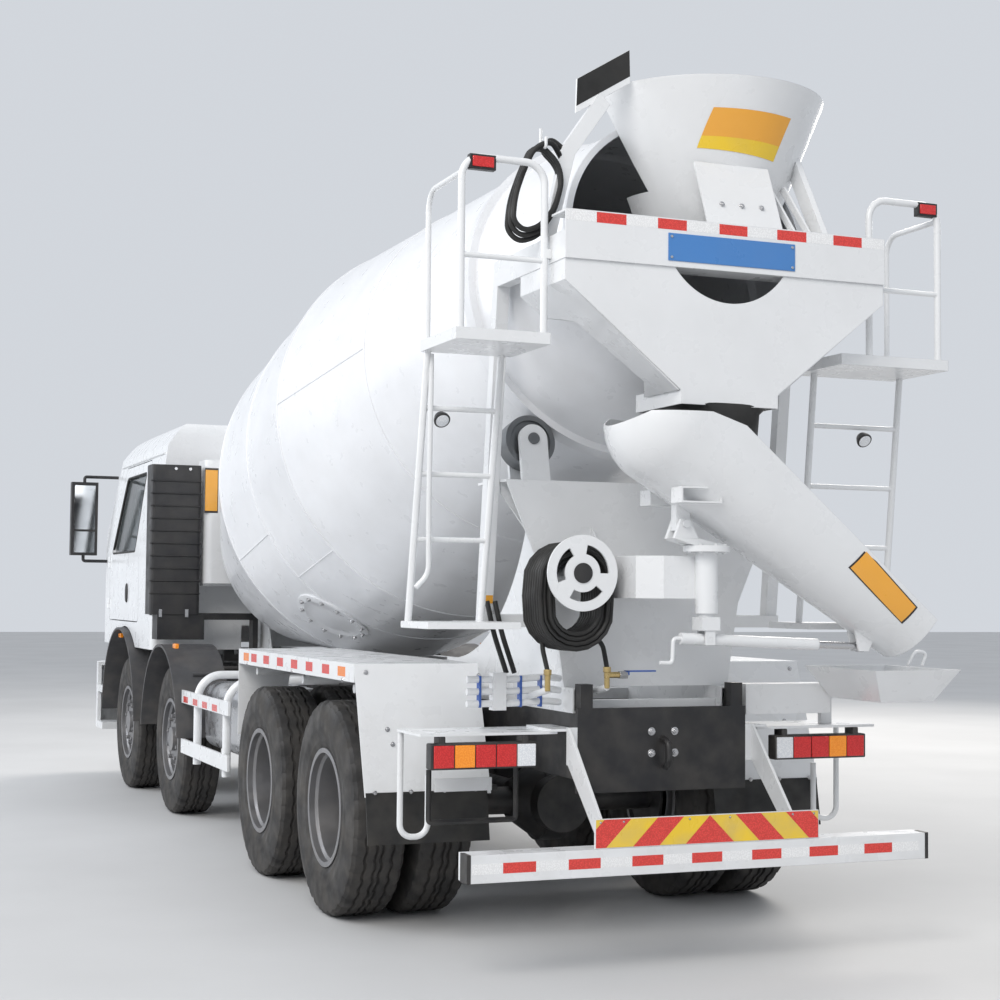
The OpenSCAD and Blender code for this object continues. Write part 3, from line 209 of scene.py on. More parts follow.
def tinted_glass():
    look = Look("tinted_glass")
    look.fill(look.shader, {
        "Base Color": look.clouds(5, 4, (0.10, 0.13, 0.14, 1), (0.14, 0.16, 0.16, 1)),
        "Roughness": look.spread(look.noise(14, 3), 0.03, 0.10),
        "Transmission Weight": 0.72,
        "Alpha": 0.62,
    })
    return look.made


WHITE = finish("white_paint", (0.80, 0.81, 0.82), 0.30, coat=0.4, patch=0.96, dust=0.025, low_dust=0.14)
DRUM_WHITE = finish("drum_paint", (0.79, 0.80, 0.82), 0.34, coat=0.3, patch=0.94, dust=0.06, low_dust=0.1, soften=0)
BLACK = finish("chassis_black", (0.020, 0.020, 0.022), 0.45, dust=0.04, low_dust=0.10, patch=0.7)
SILVER = finish("wheel_silver", (0.27, 0.27, 0.28), 0.42, metal=0.70, dust=0.08, low_dust=0.16)
TANK = finish("tank_aluminium", (0.66, 0.67, 0.69), 0.28, metal=1.0, dust=0.08, low_dust=0.2)
STEEL = finish("bare_steel", (0.60, 0.60, 0.61), 0.25, metal=1.0, dust=0.05, low_dust=0.1)
IRON = finish("roller_iron", (0.20, 0.21, 0.22), 0.45, metal=0.8, dust=0.1)
GREY_PLASTIC = finish("grey_plastic", (0.060, 0.060, 0.064), 0.55, dust=0.06, low_dust=0.15, grain=420,
                      grain_depth=0.0005)
BLACK_PLASTIC = finish("black_plastic", (0.018, 0.018, 0.020), 0.42, dust=0.06, low_dust=0.2, grain=420,
                       grain_depth=0.0005)
RUBBER = finish("rubber", (0.014, 0.014, 0.014), 0.60, dust=0.03, low_dust=0.06, grain=300, grain_depth=0.0006,
                soften=0)
TYRE = finish("tyre_rubber", (0.026, 0.025, 0.025), 0.72, dust=0.05, low_dust=0.08, grain=260, grain_depth=0.0008,
              soften=0)
CLOTH = finish("seat_cloth", (0.10, 0.11, 0.13), 0.85, grain=700, grain_depth=0.0012)
BRASS = finish("brass", (0.62, 0.46, 0.20), 0.30, metal=1.0)
BLUE = finish("blue_plastic", (0.02, 0.10, 0.42), 0.40)
BLUE_PLATE = finish("blue_plate", (0.06, 0.22, 0.55), 0.30, coat=0.3, dust=0.03)
ORANGE = finish("orange_sticker", (0.90, 0.42, 0.05), 0.32, coat=0.3, dust=0.03)
YELLOW = finish("yellow_film", (0.92, 0.62, 0.03), 0.30, coat=0.3)
RED_FILM = lens("red_film", (0.62, 0.035, 0.025))
ORANGE_FILM = lens("orange_film", (0.85, 0.22, 0.03))
WHITE_FILM = lens("white_film", (0.80, 0.80, 0.80))
RED_LENS = lens("red_lens", (0.50, 0.01, 0.01), 0.12)
AMBER_LENS = lens("amber_lens", (0.85, 0.25, 0.01), 0.12)
CLEAR_LENS = lens("clear_lens", (0.75, 0.77, 0.80))
MIRROR = finish("mirror_silver", (0.80, 0.82, 0.84), 0.05, metal=1.0, dust=0.02, low_dust=0.0, soften=0)
GLASS = tinted_glass()

PAINTED = {
    "white_paint": WHITE, "chassis_black": BLACK, "wheel_silver": SILVER, "tank_silver": TANK, "bare_steel": STEEL,
    "roller_iron": IRON, "grey_plastic": GREY_PLASTIC, "black_plastic": BLACK_PLASTIC, "lamp_red": RED_LENS,
    "hose_rubber": RUBBER, "tyre_rubber": TYRE, "tinted_glass": GLASS, "seat_cloth": CLOTH,
}


def paint_nodes():
    """Each solid gets the material of its slot; the drum's white has no softened edges."""
    for part in frame["record"]["subparts"]:
        node = NODES[part["node"]]
        node.data.materials.clear()
        node.data.materials.append(PAINTED[part["material_slot"]])
    NODES["drum"].data.materials[0] = DRUM_WHITE


# Mesh tools

def turns(count, start=0.0):
    """Even angles round a circle, in radians."""
    return [start + 2 * math.pi * i / count for i in range(count)]


def circle(centre, u, v, r, segments):
    """Points round a centre, in the plane of two unit vectors."""
    return [centre + (u * math.cos(t) + v * math.sin(t)) * r for t in turns(segments)]


def sides_of(direction):
    """Two unit vectors across a direction."""
    d = Vector(direction).normalized()
    u = d.cross(Vector((0, 0, 1)) if abs(d.z) < 0.9 else Vector((1, 0, 0))).normalized()
    return u, d.cross(u)


def span(side, a, b):
    """The distances a and b from the middle, as X values on one side in rising order."""
    return sorted((side * a, side * b))


def rounded_path(points, bend, steps=6):
    """The path through the points, with each corner cut by a curve that starts at most bend away from it."""
    path = [points[0]]
    for before, corner, after in zip(points, points[1:], points[2:]):
        a, b = (before - corner), (after - corner)
        cut = min(bend, a.length * 0.49, b.length * 0.49)
        start, end = corner + a.normalized() * cut, corner + b.normalized() * cut
        for i in range(steps + 1):
            t = i / steps
            path.append(start * (1 - t) ** 2 + corner * 2 * t * (1 - t) + end * t ** 2)
    path.append(points[-1])
    return path


class Shape:
    """Gathers plain forms in one mesh; piece() puts it in the row's frame and makes it ride on a body."""

    def __init__(self):
        self.bm = bmesh.new()

    def rings(self, rings, closed=False):
        """Skin over a list of rings of points, each with the same count; its ends have caps unless it is closed."""
        rows = [[self.bm.verts.new(p) for p in ring] for ring in rings]
        for a, b in zip(rows, rows[1:] + rows[:1] if closed else rows[1:]):
            for i in range(len(a)):
                j = (i + 1) % len(a)
                self.bm.faces.new((a[i], a[j], b[j], b[i]))
        if not closed:
            self.bm.faces.new(rows[0][::-1])
            self.bm.faces.new(rows[-1])
        return self

    def sheet(self, rows):
        """Open sheet over rows of points."""
        grid = [[self.bm.verts.new(p) for p in row] for row in rows]
        for low, high in zip(grid, grid[1:]):
            for i in range(len(low) - 1):
                self.bm.faces.new((low[i], low[i + 1], high[i + 1], high[i]))
        return self

    def box(self, low, high):
        (x0, y0, z0), (x1, y1, z1) = low, high
        return self.rings([[(x0, y0, z), (x1, y0, z), (x1, y1, z), (x0, y1, z)] for z in (z0, z1)])

    def slab(self, outline, normal, thickness):
        """A flat outline of 3-D points given a thickness along normal."""
        out = Vector(normal).normalized() * thickness
        return self.rings([[Vector(p) for p in outline], [Vector(p) + out for p in outline]])

    def rod(self, a, b, r, segments=16, r_end=None):
        a, b = Vector(a), Vector(b)
        u, v = sides_of(b - a)
        return self.rings([circle(a, u, v, r, segments), circle(b, u, v, r if r_end is None else r_end, segments)])

    def skin(self, path, r, segments):
        """Round skin along a finely spaced path."""
        u, _ = sides_of(path[1] - path[0])
        rings = []
        for i, p in enumerate(path):
            ahead = (path[min(i + 1, len(path) - 1)] - path[max(i - 1, 0)]).normalized()
            u = (u - ahead * u.dot(ahead)).normalized()
            rings.append(circle(p, u, ahead.cross(u), r, segments))
        return self.rings(rings)

    def tube(self, points, r, bend=0.04, segments=12):
        return self.skin(rounded_path([Vector(p) for p in points], bend), r, segments)

    def lathe(self, profile, at, axis, segments=48):
        """Turns a profile of (radius, distance along the axis) round the axis."""
        at, axis = Vector(at), Vector(axis).normalized()
        u, v = sides_of(axis)
        return self.rings([circle(at + axis * s, u, v, max(r, 1e-4), segments) for r, s in profile])

    def bolt(self, at, axis, r, h):
        """Washer, hexagon head and the thread's end."""
        at, axis = Vector(at), Vector(axis).normalized()
        self.rod(at, at + axis * h * 0.2, r * 1.35, 16)
        self.rod(at + axis * h * 0.2, at + axis * h, r, 6)
        return self.rod(at + axis * h, at + axis * h * 1.5, r * 0.5, 10)

    def mesh(self, name, material, shift=(0, 0, 0), sharp_from=None):
        """The finished mesh, smooth up to an angle in degrees if one is given."""
        bmesh.ops.recalc_face_normals(self.bm, faces=self.bm.faces)
        bmesh.ops.translate(self.bm, verts=self.bm.verts, vec=shift)
        made = bpy.data.meshes.new(name)
        self.bm.to_mesh(made)
        self.bm.free()
        made.materials.append(material)
        if sharp_from:
            made.shade_smooth()
            made.set_sharp_from_angle(angle=math.radians(sharp_from))
        return made

    def piece(self, name, body, material, smooth=True, bevel=None):
        made = linked(name, self.mesh(name, material, (0, REAR_AXLE_Y, 0), 38 if smooth else None))
        if bevel:
            edge = made.modifiers.new("bevel", "BEVEL")
            edge.width, edge.segments, edge.limit_method = bevel, 2, "ANGLE"
        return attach(made, body)


# Tyres with ribs, grooves and side blocks

def tyre_mesh():
    """One tyre about the X axis, with zigzag ribs, cross grooves on the shoulders and rings on the walls."""
    segments, blocks = 144, 36
    tread, shoulder, bead = HUB_Z, HUB_Z - 0.012, 0.2875
    groove, zigzag, notch = 0.013, 0.004, 0.010
    wall = [(-0.114, bead + 0.001), (-0.126, bead + 0.013), (-0.138, bead + 0.045), (-0.1400, bead + 0.052),
            (-0.1385, bead + 0.060), (-0.1465, bead + 0.100), (-0.148, bead + 0.118), (-0.1462, bead + 0.124),
            (-0.1470, bead + 0.150), (-0.1430, bead + 0.185), (-0.1395, bead + 0.200), (-0.136, bead + 0.222),
            (-0.132, shoulder - 0.006), (-0.124, shoulder), (-0.116, tread - 0.003)]
    ribs = [(-0.104, False), (-0.076, False), (-0.071, True), (-0.063, True), (-0.058, False), (-0.024, False),
            (-0.019, True), (-0.011, True), (-0.006, False)]
    half = [(x, r, False) for x, r in wall] + [(x, tread - groove * deep, deep) for x, deep in ribs]
    profile = half + [(-x, r, deep) for x, r, deep in half[::-1]]
    rings = []
    for k, t in enumerate(turns(segments)):
        wave = zigzag * (1 if (k // 2) % 2 else -1)
        between_blocks = k % (segments // blocks) == 0
        ring = []
        for x, r, deep in profile:
            beside_groove = 0.05 < abs(x) < 0.08 or abs(x) < 0.026
            on_shoulder = 0.10 < abs(x) < 0.145 and r > shoulder - 0.02
            if between_blocks and on_shoulder:
                r -= notch
            ring.append((x + wave if deep or beside_groove else x, math.cos(t) * r, math.sin(t) * r))
        rings.append(ring)
    return Shape().rings(rings, closed=True).mesh("tyre", TYRE, sharp_from=30)


def make_tyres():
    mesh = tyre_mesh()

    def tyre(name, x, axle, body, node):
        made = linked(name, mesh)
        made.location = (x, AXLES_Y[axle], HUB_Z)
        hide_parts(node)
        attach(made, body)

    for side, name in SIDES:
        for axle in (1, 2):
            tyre(f"tyre_{axle}_{name}_detail", side * FRONT_TYRE_X, axle, f"wheel_{axle}_{name}",
                 f"tyre_{axle}_{name}")
        for axle in (3, 4):
            for which, shift in (("inner", -1), ("outer", 1)):
                tyre(f"tyre_{axle}_{name}_{which}", side * (REAR_PAIR_X + shift * DUAL_GAP / 2), axle,
                     f"wheels_{axle}_{name}", f"tyres_{axle}_{name}")


# Films, stickers and blank plates

def centred(tone, places, width):
    """Spans of one tone and width round the given middles."""
    return [(tone, c - width / 2, c + width / 2) for c in places]


def filled(start, end, spans):
    """The spans, and the white ones that fill the rest from start to end."""
    row, at = [], start
    for tone, low, high in spans:
        row += [("white", at, low), (tone, low, high)]
        at = high
    return row + [("white", at, end)]


def films():
    """Reflecting film: red and white across the back, red and orange fields along both sides."""
    film = {"red": Shape(), "white": Shape(), "orange": Shape()}

    def across(y, z, spans):
        for tone, low, high in spans:
            film[tone].box((low, y - FILM, z[0]), (high, y, z[1]))

    def along(x, z, spans):
        for side, _ in SIDES:
            near, far = span(side, x, x + FILM)
            for tone, low, high in spans:
                film[tone].box((near, low, z[0]), (far, high, z[1]))

    bar_reds = centred("red", (-0.905, -0.605, -0.305, -0.015, 0.285, 0.58, 0.87), 0.15)
    across(UNDERRIDE_Y, (0.468, 0.512), filled(-1.12, 1.09, bar_reds))
    beam_reds = ((-0.65, -0.51), (-0.36, -0.22), (-0.06, 0.08), (0.23, 0.38), (0.52, 0.67))
    across(BEAM_Y, (3.210, 3.255), filled(-0.79, 0.79, [("red",) + ends for ends in beam_reds]))
    along(GUARD_X, (0.857, 0.900), centred("red", (3.56, 3.25, 2.95, 2.65), 0.15))
    mudguard_z = (1.222, 1.270)
    along(MUDGUARD_X, mudguard_z, centred("red", (-0.03, 0.28, 0.58, 0.88, 1.19, 1.48), 0.13))
    along(MUDGUARD_X, mudguard_z, centred("orange", (-0.31, 1.67), 0.13))
    for tone, material in (("red", RED_FILM), ("white", WHITE_FILM), ("orange", ORANGE_FILM)):
        film[tone].piece(f"{tone}_fields", "truck", material, smooth=False)


def blue_plate():
    """Blank plate under the beam's film, held by four screws."""
    x0, x1, z0, z1 = -0.31, 0.32, 3.075, 3.195
    face, inset, head = BEAM_Y - 0.004, 0.015, 0.004
    Shape().box((x0, face, z0), (x1, BEAM_Y, z1)).piece("blue_plate", "truck", BLUE_PLATE, bevel=0.001)
    screws = Shape()
    for x in (x0 + inset, x1 - inset):
        for z in (z0 + inset, z1 - inset):
            screws.rod((x, face, z), (x, face - head, z), 0.006)
    screws.piece("plate_screws", "truck", STEEL)


def clipped(points, limit):
    """The part of a polygon of (x, z) points that lies at x below limit."""
    kept = []
    for (x0, z0), (x1, z1) in zip(points, points[1:] + points[:1]):
        if x0 <= limit:
            kept.append((x0, z0))
        if (x0 - limit) * (x1 - limit) < 0:
            t = (limit - x0) / (x1 - x0)
            kept.append((limit, z0 + (z1 - z0) * t))
    return kept


def chevrons():
    """Marker board: slanted red and yellow fields that meet in a red triangle, held by rivets."""
    y, z0, z1, half, width = -1.818, 0.552, 0.672, 0.552, 0.128
    lean, to_back = z1 - z0, (0, -1, 0)
    red, yellow, rivets = Shape(), Shape(), Shape()
    red.slab([(-lean, y, z0), (lean, y, z0), (0, y, z1)], to_back, FILM)
    for side, _ in SIDES:
        for i in range(5):
            near, far = i * width, (i + 1) * width
            field = clipped([(lean + near, z0), (lean + far, z0), (far, z1), (near, z1)], half)
            if len(field) > 2:
                tone = yellow if i % 2 == 0 else red
                tone.slab([(side * x, y, z) for x, z in field], to_back, FILM)
        for x in (0.10, 0.42, 0.53):
            rivets.rod((side * x, y - FILM, z1 - 0.012), (side * x, y - 0.003, z1 - 0.012), 0.006, 12, 0.003)
    red.piece("chevrons_red", "truck", RED_FILM, smooth=False)
    yellow.piece("chevrons_yellow", "truck", YELLOW, smooth=False)
    rivets.piece("board_rivets", "truck", STEEL)


def curved_patch(point_at, corners, lift, columns=16, rows=6):
    """A thin sheet over a bent surface: corners as (along, angle), in order round the sheet."""
    a, b, c, d = [Vector(corner) for corner in corners]
    grid = []
    for j in range(rows + 1):
        left, right = a.lerp(d, j / rows), b.lerp(c, j / rows)
        grid.append([point_at(*left.lerp(right, i / columns), lift) for i in range(columns + 1)])
    return Shape().sheet(grid)


def on_hopper(z, angle, lift):
    """Point on the feed hopper's cone, at an angle from its rearmost line."""
    centre_x, centre_y, foot_z = 0.15, -1.44, 3.29
    foot_r, flare, height = 0.315, 0.255, 0.64
    r, turn = foot_r + flare * (z - foot_z) / height + lift, math.radians(angle)
    return Vector((centre_x + r * math.sin(turn), centre_y - r * math.cos(turn), z))


def on_chute(s, angle, lift):
    """Point on the parked chute's outer side, at a distance down the slope and an angle from its rearmost line."""
    start_r, taper, length, slope = 0.28, 0.062, 1.53, math.radians(33.5)
    r, turn = start_r - taper * s / length + lift, math.radians(angle)
    down, out = Vector((math.cos(slope), 0, -math.sin(slope))), Vector((math.sin(slope), 0, math.cos(slope)))
    start, back = Vector((-0.2, -1.78, 2.385)), Vector((0, -1, 0))
    return start + down * s + back * r * math.cos(turn) + out * r * math.sin(turn)


def stickers():
    """Orange stickers without any print; the hopper's has a yellow foot and the others a dark edge."""
    lift, upper_lift = 0.0012, 0.0020
    foot = ((3.599, 19.5), (3.630, -30.6))
    whole = ((3.795, -22.1), (3.789, 23.4)) + foot
    band = ((3.680, -28.0), (3.665, 20.6)) + foot
    curved_patch(on_hopper, whole, lift).piece("hopper_sticker", "truck", ORANGE)
    curved_patch(on_hopper, band, upper_lift).piece("hopper_sticker_band", "truck", YELLOW)
    outer = ((1.001, -19.4), (1.027, 8.6), (1.407, -5.6), (1.397, -32.0))
    inner = ((1.011, -18.2), (1.035, 7.0), (1.397, -6.8), (1.387, -30.6))
    curved_patch(on_chute, outer, lift).piece("chute_sticker_edge", "chute", BLACK_PLASTIC)
    curved_patch(on_chute, inner, upper_lift).piece("chute_sticker", "chute", ORANGE)
    flat, edge = Shape(), Shape()
    flat.box((-0.795, -1.0625, 1.590), (-0.735, -1.0610, 1.640))
    flat.box((-0.870, 4.5985, 2.255), (-0.775, 4.600, 2.570))
    flat.piece("flat_stickers", "truck", ORANGE, smooth=False)
    edge.box((-0.875, 4.5995, 2.240), (-0.770, 4.6002, 2.585))
    edge.piece("flat_sticker_edge", "truck", BLACK_PLASTIC, smooth=False)


# Lamps

def tail_lamps():
    """Two clusters in dark housings: red, amber, red, red and clear from the outside in."""
    fields = (("red", 0.100), ("amber", 0.100), ("red", 0.100), ("red", 0.100), ("clear", 0.094))
    housing, lenses = Shape(), {"red": Shape(), "amber": Shape(), "clear": Shape()}
    for side, _ in SIDES:
        x0, x1 = span(side, 0.620, 1.130)
        housing.box((x0, -1.332, 0.852), (x1, -1.262, 0.968))
        for foot in (0.66, 1.06):
            x0, x1 = span(side, foot, foot + 0.03)
            housing.box((x0, -1.330, 0.960), (x1, -1.250, 1.000))
        at, gap = 1.122, 0.005
        for tone, width in fields:
            x0, x1 = span(side, at - width, at - gap)
            lenses[tone].box((x0, -1.3385, 0.860), (x1, -1.325, 0.960))
            at -= width
    made = housing.piece("lamp_housings", "truck", BLACK_PLASTIC, bevel=0.006)
    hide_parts("tail_lamps")
    for tone, material in (("red", RED_LENS), ("amber", AMBER_LENS), ("clear", CLEAR_LENS)):
        made = lenses[tone].piece(f"lamp_lenses_{tone}", "truck", material, bevel=0.004)
        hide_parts("tail_lamps")


def small_lamps():
    """Marker lamps on the platforms' rails and along the sides, and two work lamps that look back and down."""
    dark, red, amber, clear = Shape(), Shape(), Shape(), Shape()
    for x0, x1 in ((-1.17, -1.05), (1.08, 1.19)):
        dark.box((x0, -1.850, 3.425), (x1, -1.816, 3.490))
        red.box((x0 + 0.012, -1.856, 3.436), (x1 - 0.012, -1.846, 3.480))
    bowl = [(0.012, -0.045), (0.026, -0.035), (0.036, -0.010), (0.038, 0.004), (0.033, 0.006)]
    glass = [(0.033, 0.001), (0.030, 0.006), (0.015, 0.009), (0, 0.010)]
    for at in ((-1.105, -1.36, 2.405), (1.015, -1.50, 2.39)):
        dark.lathe(bowl, at, (0, -0.8, -0.6), 32)
        clear.lathe(glass, at, (0, -0.8, -0.6), 32)
    for side, _ in SIDES:
        for y, z in ((6.31, 1.26), (3.99, 1.24)):
            x0, x1 = span(side, 1.185, 1.212)
            amber.box((x0, y - 0.05, z - 0.018), (x1, y + 0.05, z + 0.018))
    dark.piece("marker_housings", "truck", BLACK_PLASTIC, bevel=0.003)
    red.piece("marker_lenses", "truck", RED_LENS, bevel=0.002)
    clear.piece("work_lamp_lenses", "truck", CLEAR_LENS)
    amber.piece("side_marker_lenses", "truck", AMBER_LENS, bevel=0.004)


# Hoses, valves and cables

def wash_hose():
    """The hose wound on its round hanger, in four layers of eight turns, with both tails down to their fittings."""
    layers, laps, steps = 4, 8, 20
    half_width, bottom, top = 0.179, 1.391, 1.863
    rear_y, pitch, layer_depth, wobble = -1.542, 0.0262, 0.022, 0.0015
    points = []
    for layer in range(layers):
        sunk = layer_depth * layer
        half, low, high = half_width - sunk, bottom + sunk, top - sunk
        straight = (high - low) / 2 - half
        for lap in range(laps):
            for k in range(steps):
                t = k / steps
                place = lap + t if layer % 2 == 0 else laps - lap - t
                y = rear_y + pitch * place + wobble * math.sin(9.1 * (lap + t) + layer)
                across, up = math.sin(2 * math.pi * t), math.cos(2 * math.pi * t)
                z = (low + high) / 2 + half * up + straight * max(-1, min(1, 4 * up))
                points.append(Vector((COIL_X - half * across, y, z)))
    made = Shape().skin(points, 0.0108, 8)
    made.tube([(-0.61, -1.37, 1.46), (-0.63, -1.40, 1.40), (-0.61, VALVE_Y, 1.29)], 0.011)
    made.tube([(-0.40, -1.37, 1.46), (-0.33, -1.40, 1.42), (-0.315, VALVE_Y, 1.30)], 0.011)
    hose = made.piece("wound_hose", "truck", RUBBER)
    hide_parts("wash_hose")


def hanging_loops():
    """Thin hose in three loops on a hook, with both ends on the splash plate's arm."""
    top_x, top_z, shrink = -0.83, 3.57, 0.05
    loop = [(-0.80, 3.570), (-0.72, 3.500), (-0.70, 3.410), (-0.74, 3.270), (-0.82, 3.180), (-0.90, 3.155),
            (-0.955, 3.200), (-0.945, 3.320), (-0.90, 3.450), (-0.85, 3.560)]
    points = [Vector((-0.696, -1.733, 3.588)), Vector((-0.750, -1.733, 3.625))]
    for lap in range(3):
        size = 1 - shrink * lap
        for k, (x, z) in enumerate(loop):
            y = -1.735 - 0.020 * lap - 0.004 * k / 10
            points.append(Vector((top_x + (x - top_x) * size, y, top_z - (top_z - z) * size)))
    points += [Vector((-0.770, -1.790, 3.600)), Vector((-0.700, -1.733, 3.545))]
    path = rounded_path(points, 0.09, 5)
    hose = Shape().skin(path, 0.012, 10).piece("hanging_hose", "truck", RUBBER)
    path = [p + Vector((0, REAR_AXLE_Y, 0)) for p in path]
    hook = [(-0.80, -1.74, 3.66), (-0.80, -1.74, 3.585), (-0.80, -1.80, 3.560), (-0.80, -1.80, 3.610)]
    Shape().tube(hook, 0.007, 0.02).piece("hose_hook", "truck", WHITE)


def wash_fittings():
    """Valves and pipes under the wash hose, a flat dark disc of painted shade in the bore of its hanger, and two short
    hoses.
    """
    brass, white, blue, steel, black, bore_shade = Shape(), Shape(), Shape(), Shape(), Shape(), Shape()
    nut = [(0.012, 0), (0.018, 0.002), (0.018, -0.022), (0.014, -0.024), (0.014, -0.040)]
    for x, top in VALVES:
        brass.lathe(nut, (x, VALVE_Y, top), (0, 0, 1), 6)
        brass.rod((x, VALVE_Y, top - 0.04), (x, VALVE_Y, top - 0.095), 0.013)
        white.rod((x, VALVE_Y, top - 0.09), (x, -1.20, top - 0.13), 0.016)
    brass.rod((-0.315, VALVE_Y, 1.27), (-0.255, VALVE_Y, 1.27), 0.014)
    steel.rod((-0.255, VALVE_Y, 1.27), (-0.215, VALVE_Y, 1.27), 0.019, 6)
    blue.box((-0.225, -1.432, 1.283), (-0.070, -1.408, 1.290))
    blue.box((-0.225, -1.432, 1.268), (-0.205, -1.408, 1.290))
    # Three pipes side by side, with their ties and clamp
    for z in (1.135, 1.190, 1.245):
        white.tube([(-0.92, -1.215, z), (-0.70, -1.215, z), (-0.52, -1.215, z + 0.01), (-0.45, -1.190, z)], 0.016, 0.03)
    for x in (-0.86, -0.66, -0.56):
        blue.box((x - 0.005, -1.2345, 1.118), (x + 0.005, -1.1955, 1.262))
    white.box((-0.80, -1.240, 1.105), (-0.735, -1.188, 1.275))
    for x0, x1 in ((-0.78, -0.70), (-0.74, -0.66)):
        black.tube([(x0, -1.10, 1.60), (x0 + 0.02, -1.14, 1.45), (x1, -1.15, 1.27)], 0.012, 0.05)
    # Painted shade: a flat dark disc stands in for the shadowed hole of the hanger's bore
    bore_shade.lathe([(0.045, 0), (0.045, 0.004), (0.040, 0.005), (0.0, 0.005)], (COIL_X, -1.600, 1.73), (0, -1, 0), 40)
    brass.piece("brass_fittings", "truck", BRASS)
    white.piece("wash_pipes", "truck", WHITE)
    blue.piece("valve_handle_and_ties", "truck", BLUE, bevel=0.002)
    steel.piece("hose_couplings", "truck", STEEL)
    black.piece("short_hoses", "truck", RUBBER)
    bore_shade.piece("hanger_bore_shade", "truck", BLACK_PLASTIC)


# Rear end

def rear_end():
    """Small parts at the truck's rear: bolts, towing link, brackets, handles, mud flaps and the bar's caps."""
    white, black, steel, rubber = Shape(), Shape(), Shape(), Shape()
    # Bolts and link of the towing plate
    for x in (-0.06, 0.06):
        for z in (1.005, 0.905):
            steel.bolt((x, -1.366, z), (0, -1, 0), 0.014, 0.014)
    black.tube([(0, -1.360, 0.97), (0, -1.42, 0.96), (0, -1.43, 0.87), (0, -1.39, 0.84)], 0.016, 0.03)
    # Beam on the right and plate with its bracket on the left, under the lamp shelves
    white.box((0.46, -1.330, 1.072), (0.93, -1.200, 1.215))
    white.box((-1.03, -1.106, 0.730), (-0.75, -1.094, 0.790))
    black.tube([(-1.05, -1.08, 0.83), (-1.05, -1.08, 0.59), (-0.62, -1.08, 0.59), (-0.62, -1.08, 0.83)], 0.013, 0.02, 4)
    # Drip tray's handle
    white.tube([(1.19, -1.60, 1.31), (1.23, -1.60, 1.38), (1.30, -1.60, 1.37), (1.27, -1.60, 1.31)], 0.008, 0.03)
    for side, _ in SIDES:
        # Flaps under the mudguards' rear panels, and the bolts of flaps, panels and mudguards
        x0, x1 = span(side, 0.62, 1.235)
        flap = [(x0, -0.718, 0.69), (x1, -0.718, 0.69), (x1, -0.760, 0.45), (x0, -0.760, 0.45)]
        rubber.slab(flap, (0, 1, 0), 0.008)
        for x in (0.68, 0.84, 1.01, 1.19):
            steel.bolt((side * x, -0.7175, 0.690), (0, -1, -0.32), 0.009, 0.008)
        for x, z in ((1.185, 1.25), (1.10, 0.98), (1.08, 0.91), (0.60, 1.23)):
            y = -0.52 - 0.2 * (1.29 - z) / 0.62
            steel.bolt((side * x, y - 0.001, z), (0, -1, 0.3), 0.009, 0.008)
        for y in (-0.33, 0.62, 1.64):
            steel.bolt((side * 1.2395, y, 1.205), (side, 0, 0), 0.009, 0.006)
        # Caps of the underride bar
        x0, x1 = span(side, 1.125, 1.142)
        black.box((x0, -1.822, 0.430), (x1, -1.740, 0.550))
    # Bolts of the feed hopper's strut
    for x in (-0.02, 0.08, 0.18):
        steel.bolt((x, -1.949, 3.355), (0, -1, 0), 0.010, 0.010)
    # Left ladder's grab tube
    white.tube([(-1.18, -1.42, 2.69), (-1.18, -1.42, 2.55), (-1.16, -1.35, 2.05), (-1.14, -1.30, 1.72),
                (-1.20, -1.30, 1.66)], 0.012, 0.08)
    white.piece("rear_fittings", "truck", WHITE)
    black.piece("towing_plate_and_caps", "truck", BLACK)
    steel.piece("rear_bolts", "truck", STEEL)
    rubber.piece("mud_flaps", "truck", RUBBER, smooth=False)


def splash_painted_shade():
    """Dark sheet on both faces of the splash plate, above its white lower edge: painted shade where the plate lies in
    shadow, given the rubber's material.
    """
    y, thickness = -1.7358, 0.0156
    outline = [(-0.628, y, 3.782), (-0.367, y, 3.945), (-0.3705, y, 4.063), (-0.624, y, 3.904)]
    # Painted shade: a dark sheet over the plate, standing in for the shadow that falls on it
    Shape().slab(outline, (0, 1, 0), thickness).piece("splash_painted_shade", "truck", RUBBER, smooth=False)


def outlet_skirt():
    """Rubber skirt under the hopper frame's outlet: square above, round below, and open inside."""
    middle_y, inner_size = -1.775, 0.975
    outer = []
    for z, square, w, d, cy in ((2.515, 9, 0.226, 0.205, -1.771), (2.495, 9, 0.226, 0.205, -1.771),
                                (2.465, 4, 0.232, 0.222, -1.773), (2.440, 2, 0.235, 0.235, middle_y),
                                (2.350, 2, 0.228, 0.228, middle_y), (2.270, 2, 0.215, 0.215, middle_y)):
        ring = []
        for t in turns(48):
            c, s = math.cos(t), math.sin(t)
            f = (abs(c) ** square + abs(s) ** square) ** (-1 / square)
            ring.append((w * c * f, cy + d * s * f, z))
        outer.append(ring)
    inner = [[(x * inner_size, middle_y + (y - middle_y) * inner_size, z) for x, y, z in ring] for ring in outer[::-1]]
    Shape().rings(outer + inner, closed=True).piece("outlet_skirt", "truck", RUBBER)


# Drum: weld beads, seams and the bolted hatch

def drum_point(s, angle, r):
    """Point at a station, an angle in degrees up from the left, and a radius."""
    a = math.radians(angle)
    return DRUM_ORIGIN + DRUM_AXIS * s + (Vector((-1, 0, 0)) * math.cos(a) + DRUM_UP * math.sin(a)) * r


def drum_radius(s):
    """Radius of the drum's skin at a station: a cylinder between two cones."""
    front_taper, front_length, rear_taper, rear_length = 0.375, 1.643, 0.39, 2.237
    if s < CYLINDER_START:
        return DRUM_R - front_taper * (CYLINDER_START - s) / front_length
    return DRUM_R - max(0, s - CYLINDER_END) * rear_taper / rear_length


